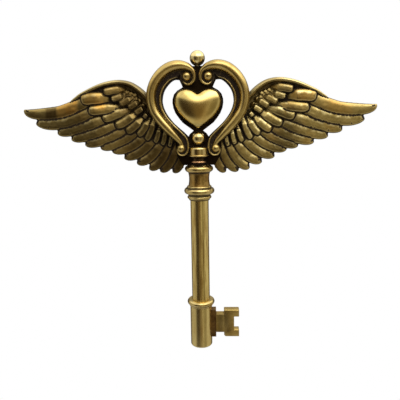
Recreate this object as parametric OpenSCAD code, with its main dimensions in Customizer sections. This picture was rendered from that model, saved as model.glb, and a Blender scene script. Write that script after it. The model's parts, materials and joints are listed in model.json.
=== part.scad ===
// Winged decorative wall key: cast bow and wings, turned neck, tube shank and bit.
// Millimetres, +Z up, front faces -Y. The origin is where a wall hook bears in the hanging ring.

/* [Shank and collars] */
// Outside diameter of the shank tube, 3/4 inch stock
tube_d = 19.05; // [16:0.05:22]
// Wall of the shank tube
tube_wall = 1.6; // [1:0.1:3]
// Length of the tube that shows between the collars
tube_show = 109; // [60:1:180]
// Depth of the seat that each collar gives the tube
tube_seat = 2.5; // [1.5:0.5:4]
// Diameter of the bead on the upper collar, the widest turned piece
collar_d = 31.4; // [30:0.2:38]
// Height of the upper collar
collar_h = 9.2; // [8.5:0.1:13]
// Diameter of the flange under the bow
flange_d = 29.2; // [28:0.2:36]
// Height of the flange under the bow
flange_h = 7.5; // [7.3:0.1:12]
// Diameter of the waist at its narrowest
waist_d = 20.8; // [20:0.2:24]
// Height of the waist
waist_h = 14; // [10:0.5:24]
// Diameter of the thin ring that seats the tube
seat_ring_d = 25; // [24.4:0.2:30]
// Height of the thin ring that seats the tube
seat_ring_h = 5.8; // [5:0.1:9]
// Diameter of the bead on the lower collar
lower_collar_d = 29.2; // [27:0.2:34]
// Height of the lower collar
lower_collar_h = 7.4; // [7:0.1:14]
// Diameter of the tie rod, M6
rod_d = 6; // [5:0.5:8]

/* [Sleeve and bit] */
// Outside diameter of the sleeve that carries the bit
sleeve_d = 23.5; // [21:0.1:28]
// Bore of the sleeve below its web
sleeve_bore = 15.5; // [14:0.1:17]
// Length of the sleeve
sleeve_len = 45.5; // [38:0.5:60]
// Thickness of the web that the tie rod's nut pulls against
sleeve_web = 6; // [4:0.5:9]
// Rounding of the sleeve's lower edge
sleeve_round = 2; // [1:0.5:3.5]
// Gap between the lower collar and the top of the bit
bit_drop = 4.4; // [0:0.2:8]
// Height of the bit
bit_h = 30.5; // [28:0.5:36]
// Reach of the bit from the key's axis
bit_reach = 41; // [38:0.2:60]
// Thickness of the bit, front to back
bit_t = 9; // [8:0.5:14]
// Width of the upright bar at the bit's root
root_w = 4.4; // [4:0.2:7]
// Width of the narrow neck between the root bar and the flag
bit_neck_w = 8.6; // [5:0.2:10]
// Height of that neck
bit_neck_h = 20.2; // [16:0.1:26]
// Depth of the ward slot in the flag's outer edge
ward_depth = 5.4; // [3:0.2:9]
// Height of the ward slot
ward_h = 15.2; // [6:0.2:17]

/* [Bow] */
// Thickness of the bow's backing plate
plate_t = 8; // [7:0.5:10]
// Height of the scroll's roll above its base strip
roll_h = 8; // [6.5:0.5:11]
// Thickness of the base strip that joins a scroll's roll, bead and balls
strip_t = 1.6; // [1:0.2:3]
// Height of the heart's dome above its straight edge
heart_dome = 8.5; // [5:0.5:12]
// Straight edge round the heart
heart_edge = 2.2; // [1:0.2:4]
// Diameter of the ball on top
crown_ball_d = 15; // [12:0.5:20]
// Diameter of the half ball under the heart
lower_ball_d = 13.8; // [12:0.2:16]
// Half width of the plinth band
plinth_r = 9.1; // [8.6:0.1:10]
// Half width of the lip under the plinth
lip_r = 10.4; // [10.2:0.1:12]

/* [Wings] */
// Number of long flight feathers in a wing
flight_count = 12; // [9:1:15]
// Number of feathers in the middle row
covert_count = 9; // [7:1:11]
// Number of small feathers under the leading edge
small_count = 6; // [4:1:8]
// Visible width of the widest flight feather
flight_w = 13.4; // [12.4:0.2:15.4]
// Width of the widest feather in the middle row
covert_w = 11.5; // [10:0.5:14]
// Width of the widest small feather
small_w = 7.2; // [6:0.2:9]
// How far the wing's middle stands forward of its root and tip
wing_lift = 7; // [0:0.5:10]
// Thickness of a flight feather at its crest
flight_t = 5; // [4:0.2:6]
// Diameter of the roll along the leading edge
edge_roll_d = 6.6; // [6:0.2:8]
// Depth of the wing root behind the bow plate
root_t = 5; // [4:0.5:6]

/* [Fixings and hanging] */
// Thickness of the brazed lug on a wing's back
lug_t = 3; // [2:0.5:4]
// Diameter of the M4 screws of the lugs and bumpers
wing_screw_d = 4; // [3:0.5:4]
// Diameter of the M3 screws that hold the bow's castings
back_screw_d = 3; // [2.5:0.5:3]
// Clearance of every screw and pin round its shank
screw_fit = 0.1; // [0.05:0.05:0.2]
// Thickness of the hanger's strap
strap_t = 1.2; // [1:0.1:1.6]
// Width of the hanger's strap
strap_w = 12; // [9:0.5:13]
// Diameter of the hanging ring's wire
ring_wire_d = 3.2; // [2.6:0.1:3.6]
// Running clearance of the ring's bar in the strap's loop
ring_fit = 0.08; // [0.03:0.01:0.1]
// Drop of the hanging point below the crown ball's seat
hook_drop = 1.5; // [1:0.1:3]
// Length of the hanger's strap below its hinge
strap_len = 25; // [23:0.5:30]
// Gap between the widest turned piece and the wall
wall_gap = 1.5; // [0.5:0.5:5]
// Diameter of the rubber bumpers
bumper_d = 11; // [10:0.5:13]

/* [Hidden] */
$fn = 64;
tiny = 0.01;

// Heights below are from the flange's top, where the bow plate stands. Depths are from the key's
// axis, with the front negative.
front_y = -plate_t / 2;
back_y = plate_t / 2;
wing_back_y = back_y + root_t;
lug_back_y = wing_back_y + lug_t;
wall_y = collar_d / 2 + wall_gap;
ring_bar_r = ring_wire_d / 2;
loop_r = ring_bar_r + ring_fit + strap_t;
seat_gap = 0.12;
ring_y = back_y + seat_gap + loop_r;

// Turned stack, from the flange down
waist_end_r = waist_d / 2 + 0.9;
waist_z = -flange_h - waist_h;
collar_z = waist_z - collar_h;
seat_ring_z = collar_z - seat_ring_h;
tube_z = seat_ring_z - tube_show;
lower_collar_z = tube_z - lower_collar_h;
sleeve_z = lower_collar_z - sleeve_len;
tube_fit = 0.05;
rod_hole_r = rod_d / 2 + 0.3;
bead_r = 3.2;
lower_bead_r = 3;
shoulder_r = 1.2;
band_r = 1.6;
blend = 0.3;
flange_step = 0.8;
flange_step_in = 2.6;
flange_foot_in = 2.4;
collar_core_r = 11.6;
seat_wall = 1.3;
web_z = lower_collar_z - sleeve_web;
washer_t = 1.6;
nut_h = 5;
plug_h = 5;
plug_sink = 0.6;
rod_tail = 2;
nut_share = 0.96;

// Tang of the bow plate inside the flange and waist
tang_w = 13;
tang_l = flange_h + waist_h - 2;
tang_fit = 0.1;
rod_depth = 9;

// Bit, measured from the axis
root_x = sleeve_d / 2 + root_w;
root_sink = 1.5;
root_side = 0.4;
bit_top_z = lower_collar_z - bit_drop;
bit_bottom_z = bit_top_z - bit_h;
neck_x = root_x + bit_neck_w;
bit_mid_z = (bit_top_z + bit_bottom_z) / 2;
bit_edge = 0.6;
tongue_w = 2.4;
tongue_t = 5;
pin_d = 3;
pin_end_x = root_x - tongue_w;
pin_pitch = 18;
pin_drop = 3;
pin_fit = 0.03;
pad_z = bit_mid_z;

// The bow and wings are drawn over the photo at the shank's scale. The camera looks down from close
// by, so what stands higher is nearer to it and looks larger. These bring a drawn point to its real
// place.
draw_share = 0.953;
draw_slope = 0.00036;
function real(p) = p * draw_share / (1 + draw_slope * p[1]);
function reals(pts) = [for (p = pts) real(p)];

// Bow, half outlines right of the axis as drawn, [x, z]
upper_volute = real([10.3, 93.5]);
upper_volute_r = 7.7;
lower_volute = real([17, 16.5]);
lower_volute_r = 6.1;
upper_eye = real([12, 95]);
upper_eye_r = 4;
lower_eye = real([18.6, 18]);
lower_eye_r = 3.8;
lower_ball_z = 27;
crown_seat_z = 97.2;
crown_half_w = 5.2;
crown_foot_r = 3.3;
crown_neck_h = 0.3;
crown_z = crown_seat_z + crown_neck_h + crown_ball_d / 2;
plinth_z = 9;
plinth_h = 9.4;
lip_h = 1.6;
plinth_round = 2.4;
crown_stud_r = 2;
crown_stud_l = 6;
ball_stud_r = 2;
ball_stud_l = 5;
stud_gap = 0.5;

// Half-round neck: its radius, and the radius and height of its foot and head
neck_r = 6.2;
neck_foot = [8.7, 1.2];
neck_head = [8, 1.4];
neck_ring_z = 3.3;

// Outer edge of a scroll, from its crest to its lower volute
scroll_edge = reals([[9, 110.4], [21, 112.9], [33, 109.9], [43.8, 102.8], [51, 92.6], [54.8, 81.5],
                     [54.9, 68.5], [50.9, 55], [44, 44.7], [35.2, 36.3], [27.6, 30.2]]);
// Middle of the scroll's roll as [x, z, width], and its height at each point as a share
roll_line = reals([[16, 91, 1.6], [12.5, 86.9, 2.6], [8.2, 86.8, 3.4], [4.2, 90.3, 4], [3.2, 95.5, 4.5],
                   [5.3, 101.2, 5.6], [11.2, 105.4, 8.2], [20, 107, 10.8], [30, 105, 11.1],
                   [39, 99.1, 10.7], [45.9, 90.2, 10.1], [49.9, 79.6, 9.7], [50.3, 69, 9.4],
                   [47.1, 58, 9.4], [40.8, 48.4, 9.4], [32.7, 39.4, 9.2], [25.1, 31.9, 8.2],
                   [19.2, 25, 5.8], [16.2, 19.5, 3.4]]);
roll_share = [0.25, 0.4, 0.5, 0.55, 0.62, 0.72, 0.9, 1, 1, 1, 1, 1, 1, 1, 1, 0.95, 0.85, 0.6, 0.4];
// Middle of the thin bead along the opening and round the lower volute, same form
bead_line = reals([[21, 94.6, 1.2], [29.6, 91.2, 1.6], [36.2, 83.6, 1.7], [39.6, 74, 1.8],
                   [38.5, 62.8, 1.9], [33.9, 53, 2], [27, 44.4, 2.1], [19.6, 37.2, 2.3], [13.4, 30, 2.5],
                   [10.9, 22.6, 2.8], [11.4, 15.6, 2.8], [14.8, 11.4, 2.7], [19.7, 11.4, 2.5],
                   [22.6, 15, 2.1], [22.4, 19.5, 1.4]]);
bead_share = [0.6, 0.7, 0.75, 0.8, 0.85, 0.9, 0.95, 1, 1.05, 1.1, 1.1, 1.05, 1, 0.9, 0.6];
bead_h = 3.6;
// Inner side of a scroll's strip: up the middle of the opening, then round the upper volute
strip_line = reals([[9.7, 21], [9.7, 30], [14, 38.6], [21.5, 45], [29, 55], [33, 66], [31, 78], [24, 86],
                    [14, 85.6], [6, 87], [0.3, 92], [0.3, 110]]);
// Lower edge of the backing plate, and how far the scroll's roll stands past its outer edge
plate_foot = reals([[24.4, 25], [24.6, 17], [22.4, 9], [19, 3], [17, 0]]);
plate_middle = real([20, 70]);
scroll_overhang = 0.9;
middle_lap = 0.5;
// Edge of the opening in the plate, round the kidney
opening_outer = reals([[19.7, 91.6], [25.5, 91.6], [31.5, 86.8], [36.4, 79.5], [38.4, 70.5], [37.4, 63],
                       [33.8, 54.8], [26.6, 45.2], [20.4, 39.4], [15, 34.6], [10.9, 30.2]]);
opening_inner = reals([[9, 33.4], [5, 36.8], [10, 40.5], [16.6, 45.5], [20.6, 50.5], [24, 55.5],
                       [26.2, 61], [27.2, 66.5], [27, 71], [25.4, 76], [22, 79.8], [16, 83.4],
                       [17.6, 87.2]]);
// Right half of the heart, from the tip to the cleft
heart_half = reals([[0, 39], [6.2, 43], [13, 48], [19.4, 54.6], [23.6, 61.6], [25, 68], [23.9, 74.4],
                    [20.4, 79], [15.4, 81.2], [10, 81.1], [5, 79.5], [1.6, 77.4], [0, 76.2]]);
heart_middle = real([0, 62]);

// Wing, right side as [x, z]. Each row has a root line, a bend line and a tip line for its feathers.
flight_root = reals([[112, 75], [88, 53], [66, 43.5], [46, 38], [30, 32], [17, 26]]);
flight_bend = reals([[157, 48], [143, 39], [131, 37.5], [114.5, 31.2], [99.5, 25.2], [86, 20.4],
                     [72.5, 14.2], [60.5, 8], [50, 0.8], [40, -4.6], [28.3, -5.4], [17, -6.4]]);
flight_tip = reals([[192.4, 61.4], [176.3, 46.9], [153.4, 36.1], [137, 28.5], [120.6, 23.5], [104, 19.2],
                    [91.9, 13.8], [79.9, 7], [66.5, 1.6], [55.2, -3.9], [43.2, -6.6], [29.6, -7.4]]);
covert_root = reals([[98, 77], [80, 62], [62, 51.5], [48, 46], [33, 31]]);
covert_bend = reals([[112, 72], [93, 52.5], [70, 38], [52, 33], [35.5, 25.5]]);
covert_tip = reals([[125.4, 70.3], [102.4, 51], [79.4, 36], [58, 27], [40.5, 22]]);
small_root = reals([[79, 84], [69, 75], [57, 63], [49, 54]]);
small_bend = reals([[90, 82.6], [77, 68.6], [62, 57.6], [52, 51]]);
small_tip = reals([[101, 79], [84.6, 65.5], [67.6, 56], [56.6, 51.5]]);
edge_line = reals([[50, 66], [57.6, 74.4], [66.3, 82.4], [76, 88], [88, 89.6], [101, 87.4], [114, 82.6],
                   [127, 76.8], [140, 69], [150, 64]]);
// Backing behind the feathers: where it starts under the edge roll, and where it ends
backing_top = reals([[24, 34], [44, 60], [57, 73], [68, 83], [80, 88], [92, 88.6], [106, 85],
                     [120, 78.6], [136, 70], [150, 63], [168.5, 57.4]]);
backing_end = reals([[17, -4.5], [29, 2], [42, 6], [54, 12], [67, 17.5], [80, 23.5], [95, 29],
                     [111, 34.5], [128, 41], [144, 45.5], [164, 51]]);
backing_t = 2.6;
// Rows of feathers: width of the last feather as a share of the first, and depths at side and crest
flight_end = 0.64;
covert_end = 0.62;
covert_low = 1.5;
covert_crest = flight_t + 2.6;
small_end = 0.7;
small_low = 2;
small_crest = flight_t + 4;
// A feather's width at its root, the place where it is full, and where its two sides turn in
feather_root = 0.7;
feather_full = 0.4;
lower_turn = 0.6;
upper_turn = 0.84;
side_share = 0.45;
// Leading edge: depth of its middle, and how thin and how low it ends
edge_depth = 3.2;
edge_end = 0.5;
edge_end_depth = 0.2;
edge_foot = 0.9;
lift_from = 70;
lift_peak = 105;
lift_to = 190;

// Lug points on the right side: two bosses behind the plate, a bumper and a braze point
lug_upper = real([46.4, 66]);
lug_lower = real([28, 37.6]);
lug_pad = real([62, 53]);
lug_braze = real([66.5, 62]);
lug_r = 5.6;
lug_bar_w = 9;
boss_r = 4.4;
wing_gap = 0.3;
wing_tuck = 3;
feather_lap = 2.4;
feather_tilt = 0.5;
plate_skin = 1;

// Screws behind the bow, as [x, z]
back_points = reals([[10.5, 66], [20, 106.7], [48.6, 84], [36.5, 44]]);
centre_points = [[0, 13.8], [0, 4.4]];
screw_bite = 5;
tip_gap = 0.5;
head_t = 2;
head_r_share = 0.95;
head_sink = 1;
slot_w = 0.8;
bumper_head_y = wall_y - head_t - head_sink;

// Hanger
ring_half_w = 10;
ring_leg = 1.5;
hook_h = crown_seat_z - hook_drop;
hinge_z = hook_h - ring_leg - ring_half_w + ring_bar_r;
strap_hole_in = 5;
strap_hole_drop = 7;
hanger_hole_z = [hinge_z - strap_hole_drop, hinge_z - strap_len + strap_hole_in];

// Joins two values by the share t
function mix(a, b, t) = a + (b - a) * t;

// One point of a smooth curve through p1 and p2
function through(p0, p1, p2, p3, t) =
    0.5 * (2 * p1 + (p2 - p0) * t + (2 * p0 - 5 * p1 + 4 * p2 - p3) * t * t
    + (3 * p1 - p0 - 3 * p2 + p3) * t * t * t);

// The point at place u on the smooth curve through a list of points
function on_curve(pts, u) =
    let (n = len(pts), i = min(floor(u), n - 2), a = max(i - 1, 0), b = min(i + 2, n - 1))
    through(pts[a], pts[i], pts[i + 1], pts[b], u - i);

// A list of points along that curve, with a number of steps between each two
function curve(pts, steps) =
    [for (i = [0:steps * (len(pts) - 1)]) on_curve(pts, i / steps)];

function unit(v) = v / norm(v);
function flat(v) = [v[0], v[1]];
function left_of(v) = [-v[1], v[0]];

// Direction of a list of points at place i
function run_of(pts, i) =
    unit(flat(pts[min(i + 1, len(pts) - 1)]) - flat(pts[max(i - 1, 0)]));

// Closed solid through a list of rings with the same number of points
module loft(rings) {
    n = len(rings[0]);
    m = len(rings);
    sides = [for (j = [0:m - 2], i = [0:n - 1], half = [0, 1])
        let (k = (i + 1) % n)
        half == 0 ? [j * n + i, j * n + k, (j + 1) * n + i]
                  : [j * n + k, (j + 1) * n + k, (j + 1) * n + i]];
    ends = [[for (i = [n - 1:-1:0]) i], [for (i = [0:n - 1]) (m - 1) * n + i]];
    polyhedron([for (r = rings) each r], concat(sides, ends));
}

// Turns a drawing in x and z to stand in the key's plane, from depth y0 forward by t
module upright(y0, t) {
    translate([0, y0, 0]) rotate([90, 0, 0]) linear_extrude(t) children();
}

// A turned piece round the key's axis
module turned() {
    rotate_extrude($fn = 96) children();
}

// Drawing of a round bead of radius r on a turned piece, out to edge_r at height z
module bead(edge_r, z, r) {
    box2(0, z - r, edge_r - r, z + r);
    translate([edge_r - r, z]) circle(r);
}

// A half-round turned piece with its flat back on the plate
module half_turned() {
    translate([0, front_y, 0]) rotate([0, 0, 180]) rotate_extrude(angle = 180, $fn = 96) children();
}

module box2(x0, z0, x1, z1) {
    translate([x0, z0]) square([x1 - x0, z1 - z0]);
}

module both_sides() {
    children();
    mirror([1, 0, 0]) children();
}

module both_flat() {
    children();
    mirror([1, 0]) children();
}

// A round hole or rod along Y, centred on p
module rod_y(p, r, y0, y1) {
    translate([p[0], y0, p[1]]) rotate([-90, 0, 0]) cylinder(r = r, h = y1 - y0);
}

// A flat bar of width w from a to b, between round pads of radius r
module bar2(a, b, r, w) {
    d = b - a;
    translate(a) circle(r);
    translate(b) circle(r);
    translate(a) rotate(atan2(d[1], d[0])) translate([0, -w / 2]) square([norm(d), w]);
}

// Places the key so that the hook bears at the origin
module placed() {
    translate([0, -ring_y, -hook_h]) children();
}

// Kidney opening of the bow, right side
module kidney() {
    polygon(concat(curve(opening_outer, 3), opening_inner));
}

// Right half of the backing plate's outline without its openings
module plate_half_solid() {
    polygon(concat([[-middle_lap, crown_seat_z], [crown_half_w, crown_seat_z]],
        [for (p = curve(scroll_edge, 3)) p - unit(p - plate_middle) * scroll_overhang],
        plate_foot,
        [[-middle_lap, 0]]));
}

module plate_half() {
    difference() {
        plate_half_solid();
        kidney();
    }
}

module bow_plate() {
    color([0.2, 0.15, 0.08]) difference() {
        union() {
            upright(back_y, plate_t) both_flat() plate_half();
            translate([-tang_w / 2, front_y, -tang_l]) cube([tang_w, plate_t, tang_l + 1]);
        }
        translate([0, 0, -tang_l - tiny]) cylinder(r = rod_d / 2, h = rod_depth);
        translate([0, 0, crown_seat_z - crown_stud_l]) cylinder(r = crown_stud_r, h = crown_stud_l + 1);
        rod_y([0, lower_ball_z], ball_stud_r, front_y - 1, front_y + ball_stud_l);
        both_sides() for (p = back_points) rod_y(p, back_screw_d / 2 + screw_fit, front_y - 1, back_y + 1);
        for (p = centre_points) rod_y(p, back_screw_d / 2 + screw_fit, front_y - 1, back_y + 1);
        both_sides() for (p = [lug_upper, lug_lower])
            rod_y(p, wing_screw_d / 2, front_y + plate_skin, back_y + 1);
        for (z = hanger_hole_z) rod_y([0, z], back_screw_d / 2, back_y - screw_bite, back_y + 1);
    }
}

// Rings of a raised half-round moulding along a line of [x, z, width], with its height's shares
function moulding(line, shares, height, base_y) =
    let (pts = curve(line, 2), high = curve(shares, 2))
    [for (i = [0:len(pts) - 1])
        let (p = flat(pts[i]), n = left_of(run_of(pts, i)), w = pts[i][2] / 2, h = height * high[i])
        [for (a = [180:-30:0])
            let (q = p + n * w * cos(a)) [q[0], base_y - h * sin(a), q[1]]]];

// A ball at p, centred at depth y and cut off flat on the plate's face
module plate_ball(p, r, y) {
    intersection() {
        translate([p[0], y, p[1]]) sphere(r, $fn = 96);
        translate([p[0] - 2 * r, front_y - 4 * r, p[1] - 2 * r]) cube(4 * r);
    }
}

module scroll_strip() {
    intersection() {
        plate_half();
        polygon(concat(curve(scroll_edge, 3), [plate_foot[0]], strip_line));
    }
    translate(lower_volute) circle(lower_volute_r);
    translate(upper_volute) circle(upper_volute_r);
}

module scroll() {
    base_y = front_y - strip_t / 2;
    color([0.72, 0.6, 0.3]) difference() {
        union() {
            upright(front_y, strip_t + tiny) scroll_strip();
            loft(moulding(roll_line, roll_share, roll_h + strip_t / 2, base_y));
            loft(moulding(bead_line, bead_share, bead_h + strip_t / 2, base_y));
            plate_ball(upper_eye, upper_eye_r, front_y - strip_t);
            plate_ball(lower_eye, lower_eye_r, front_y - strip_t);
        }
        for (i = [1:3]) rod_y(back_points[i], back_screw_d / 2, front_y - screw_bite, front_y + 1);
    }
}

module left_scroll() {
    mirror([1, 0, 0]) scroll();
}

module right_scroll() {
    scroll();
}

// Heart outline shrunk towards its middle
function heart_ring(share, y) =
    let (half = curve(heart_half, 2), n = len(half),
         all = concat(half, [for (i = [n - 2:-1:1]) [-half[i][0], half[i][1]]]))
    [for (p = all) let (q = mix(heart_middle, p, share)) [q[0], y, q[1]]];

module heart() {
    edge_y = front_y - heart_edge;
    shares = [1, 0.96, 0.87, 0.72, 0.5, 0.22];
    rings = concat([heart_ring(1, front_y)],
        [for (s = shares) heart_ring(s, edge_y - heart_dome * sqrt(1 - s * s))]);
    color([0.75, 0.62, 0.3]) difference() {
        loft(rings);
        both_sides() rod_y(back_points[0], back_screw_d / 2, front_y - screw_bite, front_y + 1);
    }
}

module crown_ball() {
    color([0.75, 0.63, 0.32]) union() {
        translate([0, 0, crown_z]) sphere(crown_ball_d / 2, $fn = 96);
        translate([0, 0, crown_seat_z]) cylinder(r = crown_foot_r, h = crown_z - crown_seat_z);
        translate([0, 0, crown_seat_z - crown_stud_l + stud_gap])
            cylinder(r = crown_stud_r, h = crown_stud_l);
    }
}

module lower_ball() {
    color([0.72, 0.6, 0.3]) union() {
        plate_ball([0, lower_ball_z], lower_ball_d / 2, front_y);
        rod_y([0, lower_ball_z], ball_stud_r, front_y - 1, front_y + ball_stud_l - stud_gap);
    }
}

// Half-round band with a rounded top and a lip
module plinth() {
    color([0.68, 0.56, 0.27]) difference() {
        half_turned() union() {
            bead(lip_r, plinth_z + lip_h / 2, lip_h / 2);
            box2(0, plinth_z + lip_h / 2, plinth_r, plinth_z + plinth_h - plinth_round);
            bead(plinth_r, plinth_z + plinth_h - plinth_round, plinth_round);
        }
        rod_y(centre_points[0], back_screw_d / 2, front_y - screw_bite, front_y + 1);
    }
}

// Half-round neck with one small ring
module neck_cove() {
    color([0.24, 0.17, 0.09]) difference() {
        half_turned() union() {
            box2(0, 0, neck_r, plinth_z);
            box2(0, 0, neck_foot[0], neck_foot[1]);
            box2(0, plinth_z - neck_head[1], neck_head[0], plinth_z);
            bead(neck_r + shoulder_r, neck_ring_z, shoulder_r);
        }
        rod_y(centre_points[1], back_screw_d / 2, front_y - screw_bite, front_y + 1);
    }
}

// Socket for the plate's tang
module tang_socket() {
    w = tang_w + 2 * tang_fit;
    t = plate_t + 2 * tang_fit;
    translate([-w / 2, -t / 2, -tang_l - 1]) cube([w, t, tang_l + 2]);
}

module upper_flange() {
    r = flange_d / 2;
    bead_z = -flange_step - bead_r;
    color([0.72, 0.6, 0.3]) difference() {
        turned() union() {
            box2(0, -flange_h, waist_end_r, 0);
            box2(0, bead_z, r - flange_step_in, 0);
            bead(r, bead_z, bead_r);
            box2(0, blend - flange_h, r - flange_foot_in, bead_z);
        }
        tang_socket();
    }
}

module waist() {
    r = waist_d / 2;
    sag = waist_end_r - r;
    sweep_r = waist_h * waist_h / (8 * sag) + sag / 2;
    color([0.55, 0.42, 0.18]) difference() {
        turned() difference() {
            box2(0, waist_z, waist_end_r, -flange_h);
            translate([r + sweep_r, waist_z + waist_h / 2]) circle(sweep_r, $fn = 240);
        }
        tang_socket();
        translate([0, 0, waist_z - 1]) cylinder(r = rod_hole_r, h = waist_h);
    }
}

module collar_bead() {
    color([0.74, 0.62, 0.3]) turned() difference() {
        union() {
            box2(0, collar_z, collar_core_r, waist_z);
            bead(collar_core_r + shoulder_r, waist_z - shoulder_r, shoulder_r);
            bead(collar_d / 2, waist_z - 2 * shoulder_r - bead_r + blend, bead_r);
        }
        box2(-1, collar_z - 1, rod_hole_r, waist_z + 1);
    }
}

module seat_ring() {
    color([0.66, 0.54, 0.26]) turned() difference() {
        union() {
            box2(0, seat_ring_z, tube_d / 2 + seat_wall, collar_z);
            box2(0, collar_z - shoulder_r, collar_core_r, collar_z);
            bead(seat_ring_d / 2, collar_z - shoulder_r - band_r, band_r);
        }
        box2(-1, seat_ring_z - 1, rod_hole_r, collar_z + 1);
        box2(-1, seat_ring_z - 1, tube_d / 2 + tube_fit, seat_ring_z + tube_seat);
    }
}

module shank_tube() {
    r = tube_d / 2;
    color([0.6, 0.48, 0.22]) turned()
        box2(r - tube_wall, tube_z - tube_seat, r, seat_ring_z + tube_seat);
}

module lower_collar() {
    color([0.74, 0.62, 0.3]) turned() difference() {
        union() {
            box2(0, lower_collar_z, sleeve_d / 2, tube_z - lower_bead_r);
            bead(lower_collar_d / 2, tube_z - lower_bead_r, lower_bead_r);
            bead(sleeve_d / 2 + shoulder_r - blend, lower_collar_z + shoulder_r, shoulder_r);
        }
        box2(-1, lower_collar_z - 1, rod_hole_r, tube_z + 1);
        box2(-1, tube_z - tube_seat, tube_d / 2 + tube_fit, tube_z + 1);
    }
}

module bit_sleeve() {
    r = sleeve_d / 2;
    color([0.64, 0.52, 0.25]) difference() {
        turned() difference() {
            union() {
                box2(0, sleeve_z + sleeve_round, r, lower_collar_z);
                bead(r, sleeve_z + sleeve_round, sleeve_round);
            }
            box2(-1, sleeve_z - 1, sleeve_bore / 2, web_z);
            box2(-1, web_z - 1, rod_hole_r, lower_collar_z + 1);
        }
        pin_rods(pin_d / 2 + pin_fit, 0);
        rod_y([0, pad_z], wing_screw_d / 2, 0, r + 1);
    }
}

// The two cross pins of the bit's root bar, from x0 to the floor of the slot for the tongue
module pin_rods(r, x0) {
    for (side = [-1, 1]) translate([x0, 0, bit_mid_z - pin_drop + side * pin_pitch / 2])
        rotate([0, 90, 0]) cylinder(r = r, h = pin_end_x - x0);
}

module bit_pins() {
    color([0.5, 0.4, 0.2]) pin_rods(pin_d / 2, sleeve_bore / 2);
}

// Upright bar, hollowed to the sleeve and slotted for the flag's tongue
module bit_root() {
    color([0.3, 0.2, 0.09]) difference() {
        translate([sleeve_d / 2 - root_sink, -bit_t / 2 - root_side, bit_bottom_z])
            cube([root_w + root_sink, bit_t + 2 * root_side, bit_h]);
        translate([0, 0, bit_bottom_z - 1]) cylinder(r = sleeve_d / 2, h = bit_h + 2, $fn = 96);
        translate([root_x - tongue_w, -tongue_t / 2, bit_mid_z - bit_neck_h / 2 - tang_fit])
            cube([tongue_w + 1, tongue_t, bit_neck_h + 2 * tang_fit]);
        pin_rods(pin_d / 2 + pin_fit, 0);
    }
}

// Flag outline, drawn in by a share at its faces
module flag(inset) {
    difference() {
        union() {
            box2(neck_x + inset, bit_bottom_z + inset, bit_reach - inset, bit_top_z - inset);
            box2(root_x, bit_mid_z - bit_neck_h / 2 + inset, neck_x + 1 + inset,
                 bit_mid_z + bit_neck_h / 2 - inset);
        }
        box2(bit_reach - ward_depth - inset, bit_mid_z - ward_h / 2 - inset, bit_reach + 1,
             bit_mid_z + ward_h / 2 + inset);
    }
}

module bit() {
    color([0.58, 0.46, 0.2]) union() {
        upright(bit_t / 2, bit_t) flag(bit_edge);
        upright(bit_t / 2 - bit_edge, bit_t - 2 * bit_edge) flag(0);
        upright(tongue_t / 2 - tang_fit, tongue_t - 2 * tang_fit)
            box2(root_x - tongue_w + tang_fit, bit_mid_z - bit_neck_h / 2, root_x + 1,
                 bit_mid_z + bit_neck_h / 2);
    }
}

module end_plug() {
    color([0.55, 0.44, 0.2]) translate([0, 0, sleeve_z + plug_sink])
        cylinder(r = sleeve_bore / 2, h = plug_h);
}

module tie_rod() {
    top = -tang_l + rod_depth - 1;
    bottom = web_z - washer_t - nut_h - rod_tail;
    color([0.6, 0.6, 0.62]) translate([0, 0, bottom]) cylinder(r = rod_d / 2, h = top - bottom);
}

module rod_washer() {
    color([0.66, 0.66, 0.68]) translate([0, 0, web_z - washer_t]) difference() {
        cylinder(r = rod_d, h = washer_t);
        translate([0, 0, -1]) cylinder(r = rod_hole_r, h = washer_t + 2);
    }
}

module rod_nut() {
    color([0.66, 0.66, 0.68]) translate([0, 0, web_z - washer_t - nut_h]) difference() {
        cylinder(r = rod_d * nut_share, h = nut_h, $fn = 6);
        translate([0, 0, -1]) cylinder(r = rod_d / 2, h = nut_h + 2);
    }
}

// How far the wing stands forward at x
function lift(x) =
    let (inner = (x - lift_from) / (lift_peak - lift_from),
         outer = (lift_to - x) / (lift_to - lift_peak),
         s = min(max(min(inner, outer), 0), 1))
    wing_lift * s * s * (3 - 2 * s);

// A point in the wing at [x, z], depth d in front of its back
function in_wing(p, d) = [p[0], wing_back_y - lift(p[0]) - d, p[1]];

// Share of a feather's full width left at t, where it narrows after a place
function blunt(t, place, power) = sqrt(max(1 - pow(max((t - place) / (1 - place), 0), power), 0.09));

// Rings of one feather: a bent line from root to tip, domed, with its upper side under its neighbour
function feather(root, bend, tip, width, lap, low, crest) =
    [for (t = [0, 0.2, 0.42, 0.62, 0.8, 0.92, 0.98, 1])
        let (p = root * (1 - t) * (1 - t) + bend * 2 * t * (1 - t) + tip * t * t,
             n = left_of(unit((bend - root) * (1 - t) + (tip - bend) * t)),
             grow = mix(feather_root, 1, min(t / feather_full, 1)),
             down = -n * width * 0.5 * grow * blunt(t, lower_turn, 2.2),
             up = n * (width * 0.5 + lap) * grow * blunt(t, upper_turn, 2.6),
             rise = (crest - low) * mix(feather_root, 1, blunt(t, lower_turn, 2)))
        [for (s = [-1, -0.6, 0, 0.6, 1])
            in_wing(p + abs(s) * (s < 0 ? down : up),
                low + rise * mix(side_share, 1, sqrt(1 - s * s)) - feather_tilt * s),
         in_wing(p + up, low), in_wing(p + down, low)]];

// The point of a row's line for feather i of count
function of_row(line, i, count) = on_curve(line, i / (count - 1) * (len(line) - 1));

// A row of feathers between its three lines, widest at the outer end
module feather_row(count, roots, bends, tips, width, narrow, low, crest) {
    for (i = [0:count - 1]) {
        w = width * mix(1, narrow, pow(i / (count - 1), 0.4));
        loft(feather(of_row(roots, i, count), of_row(bends, i, count), of_row(tips, i, count), w,
            i == 0 ? 0 : feather_lap, low, crest));
    }
}

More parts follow.
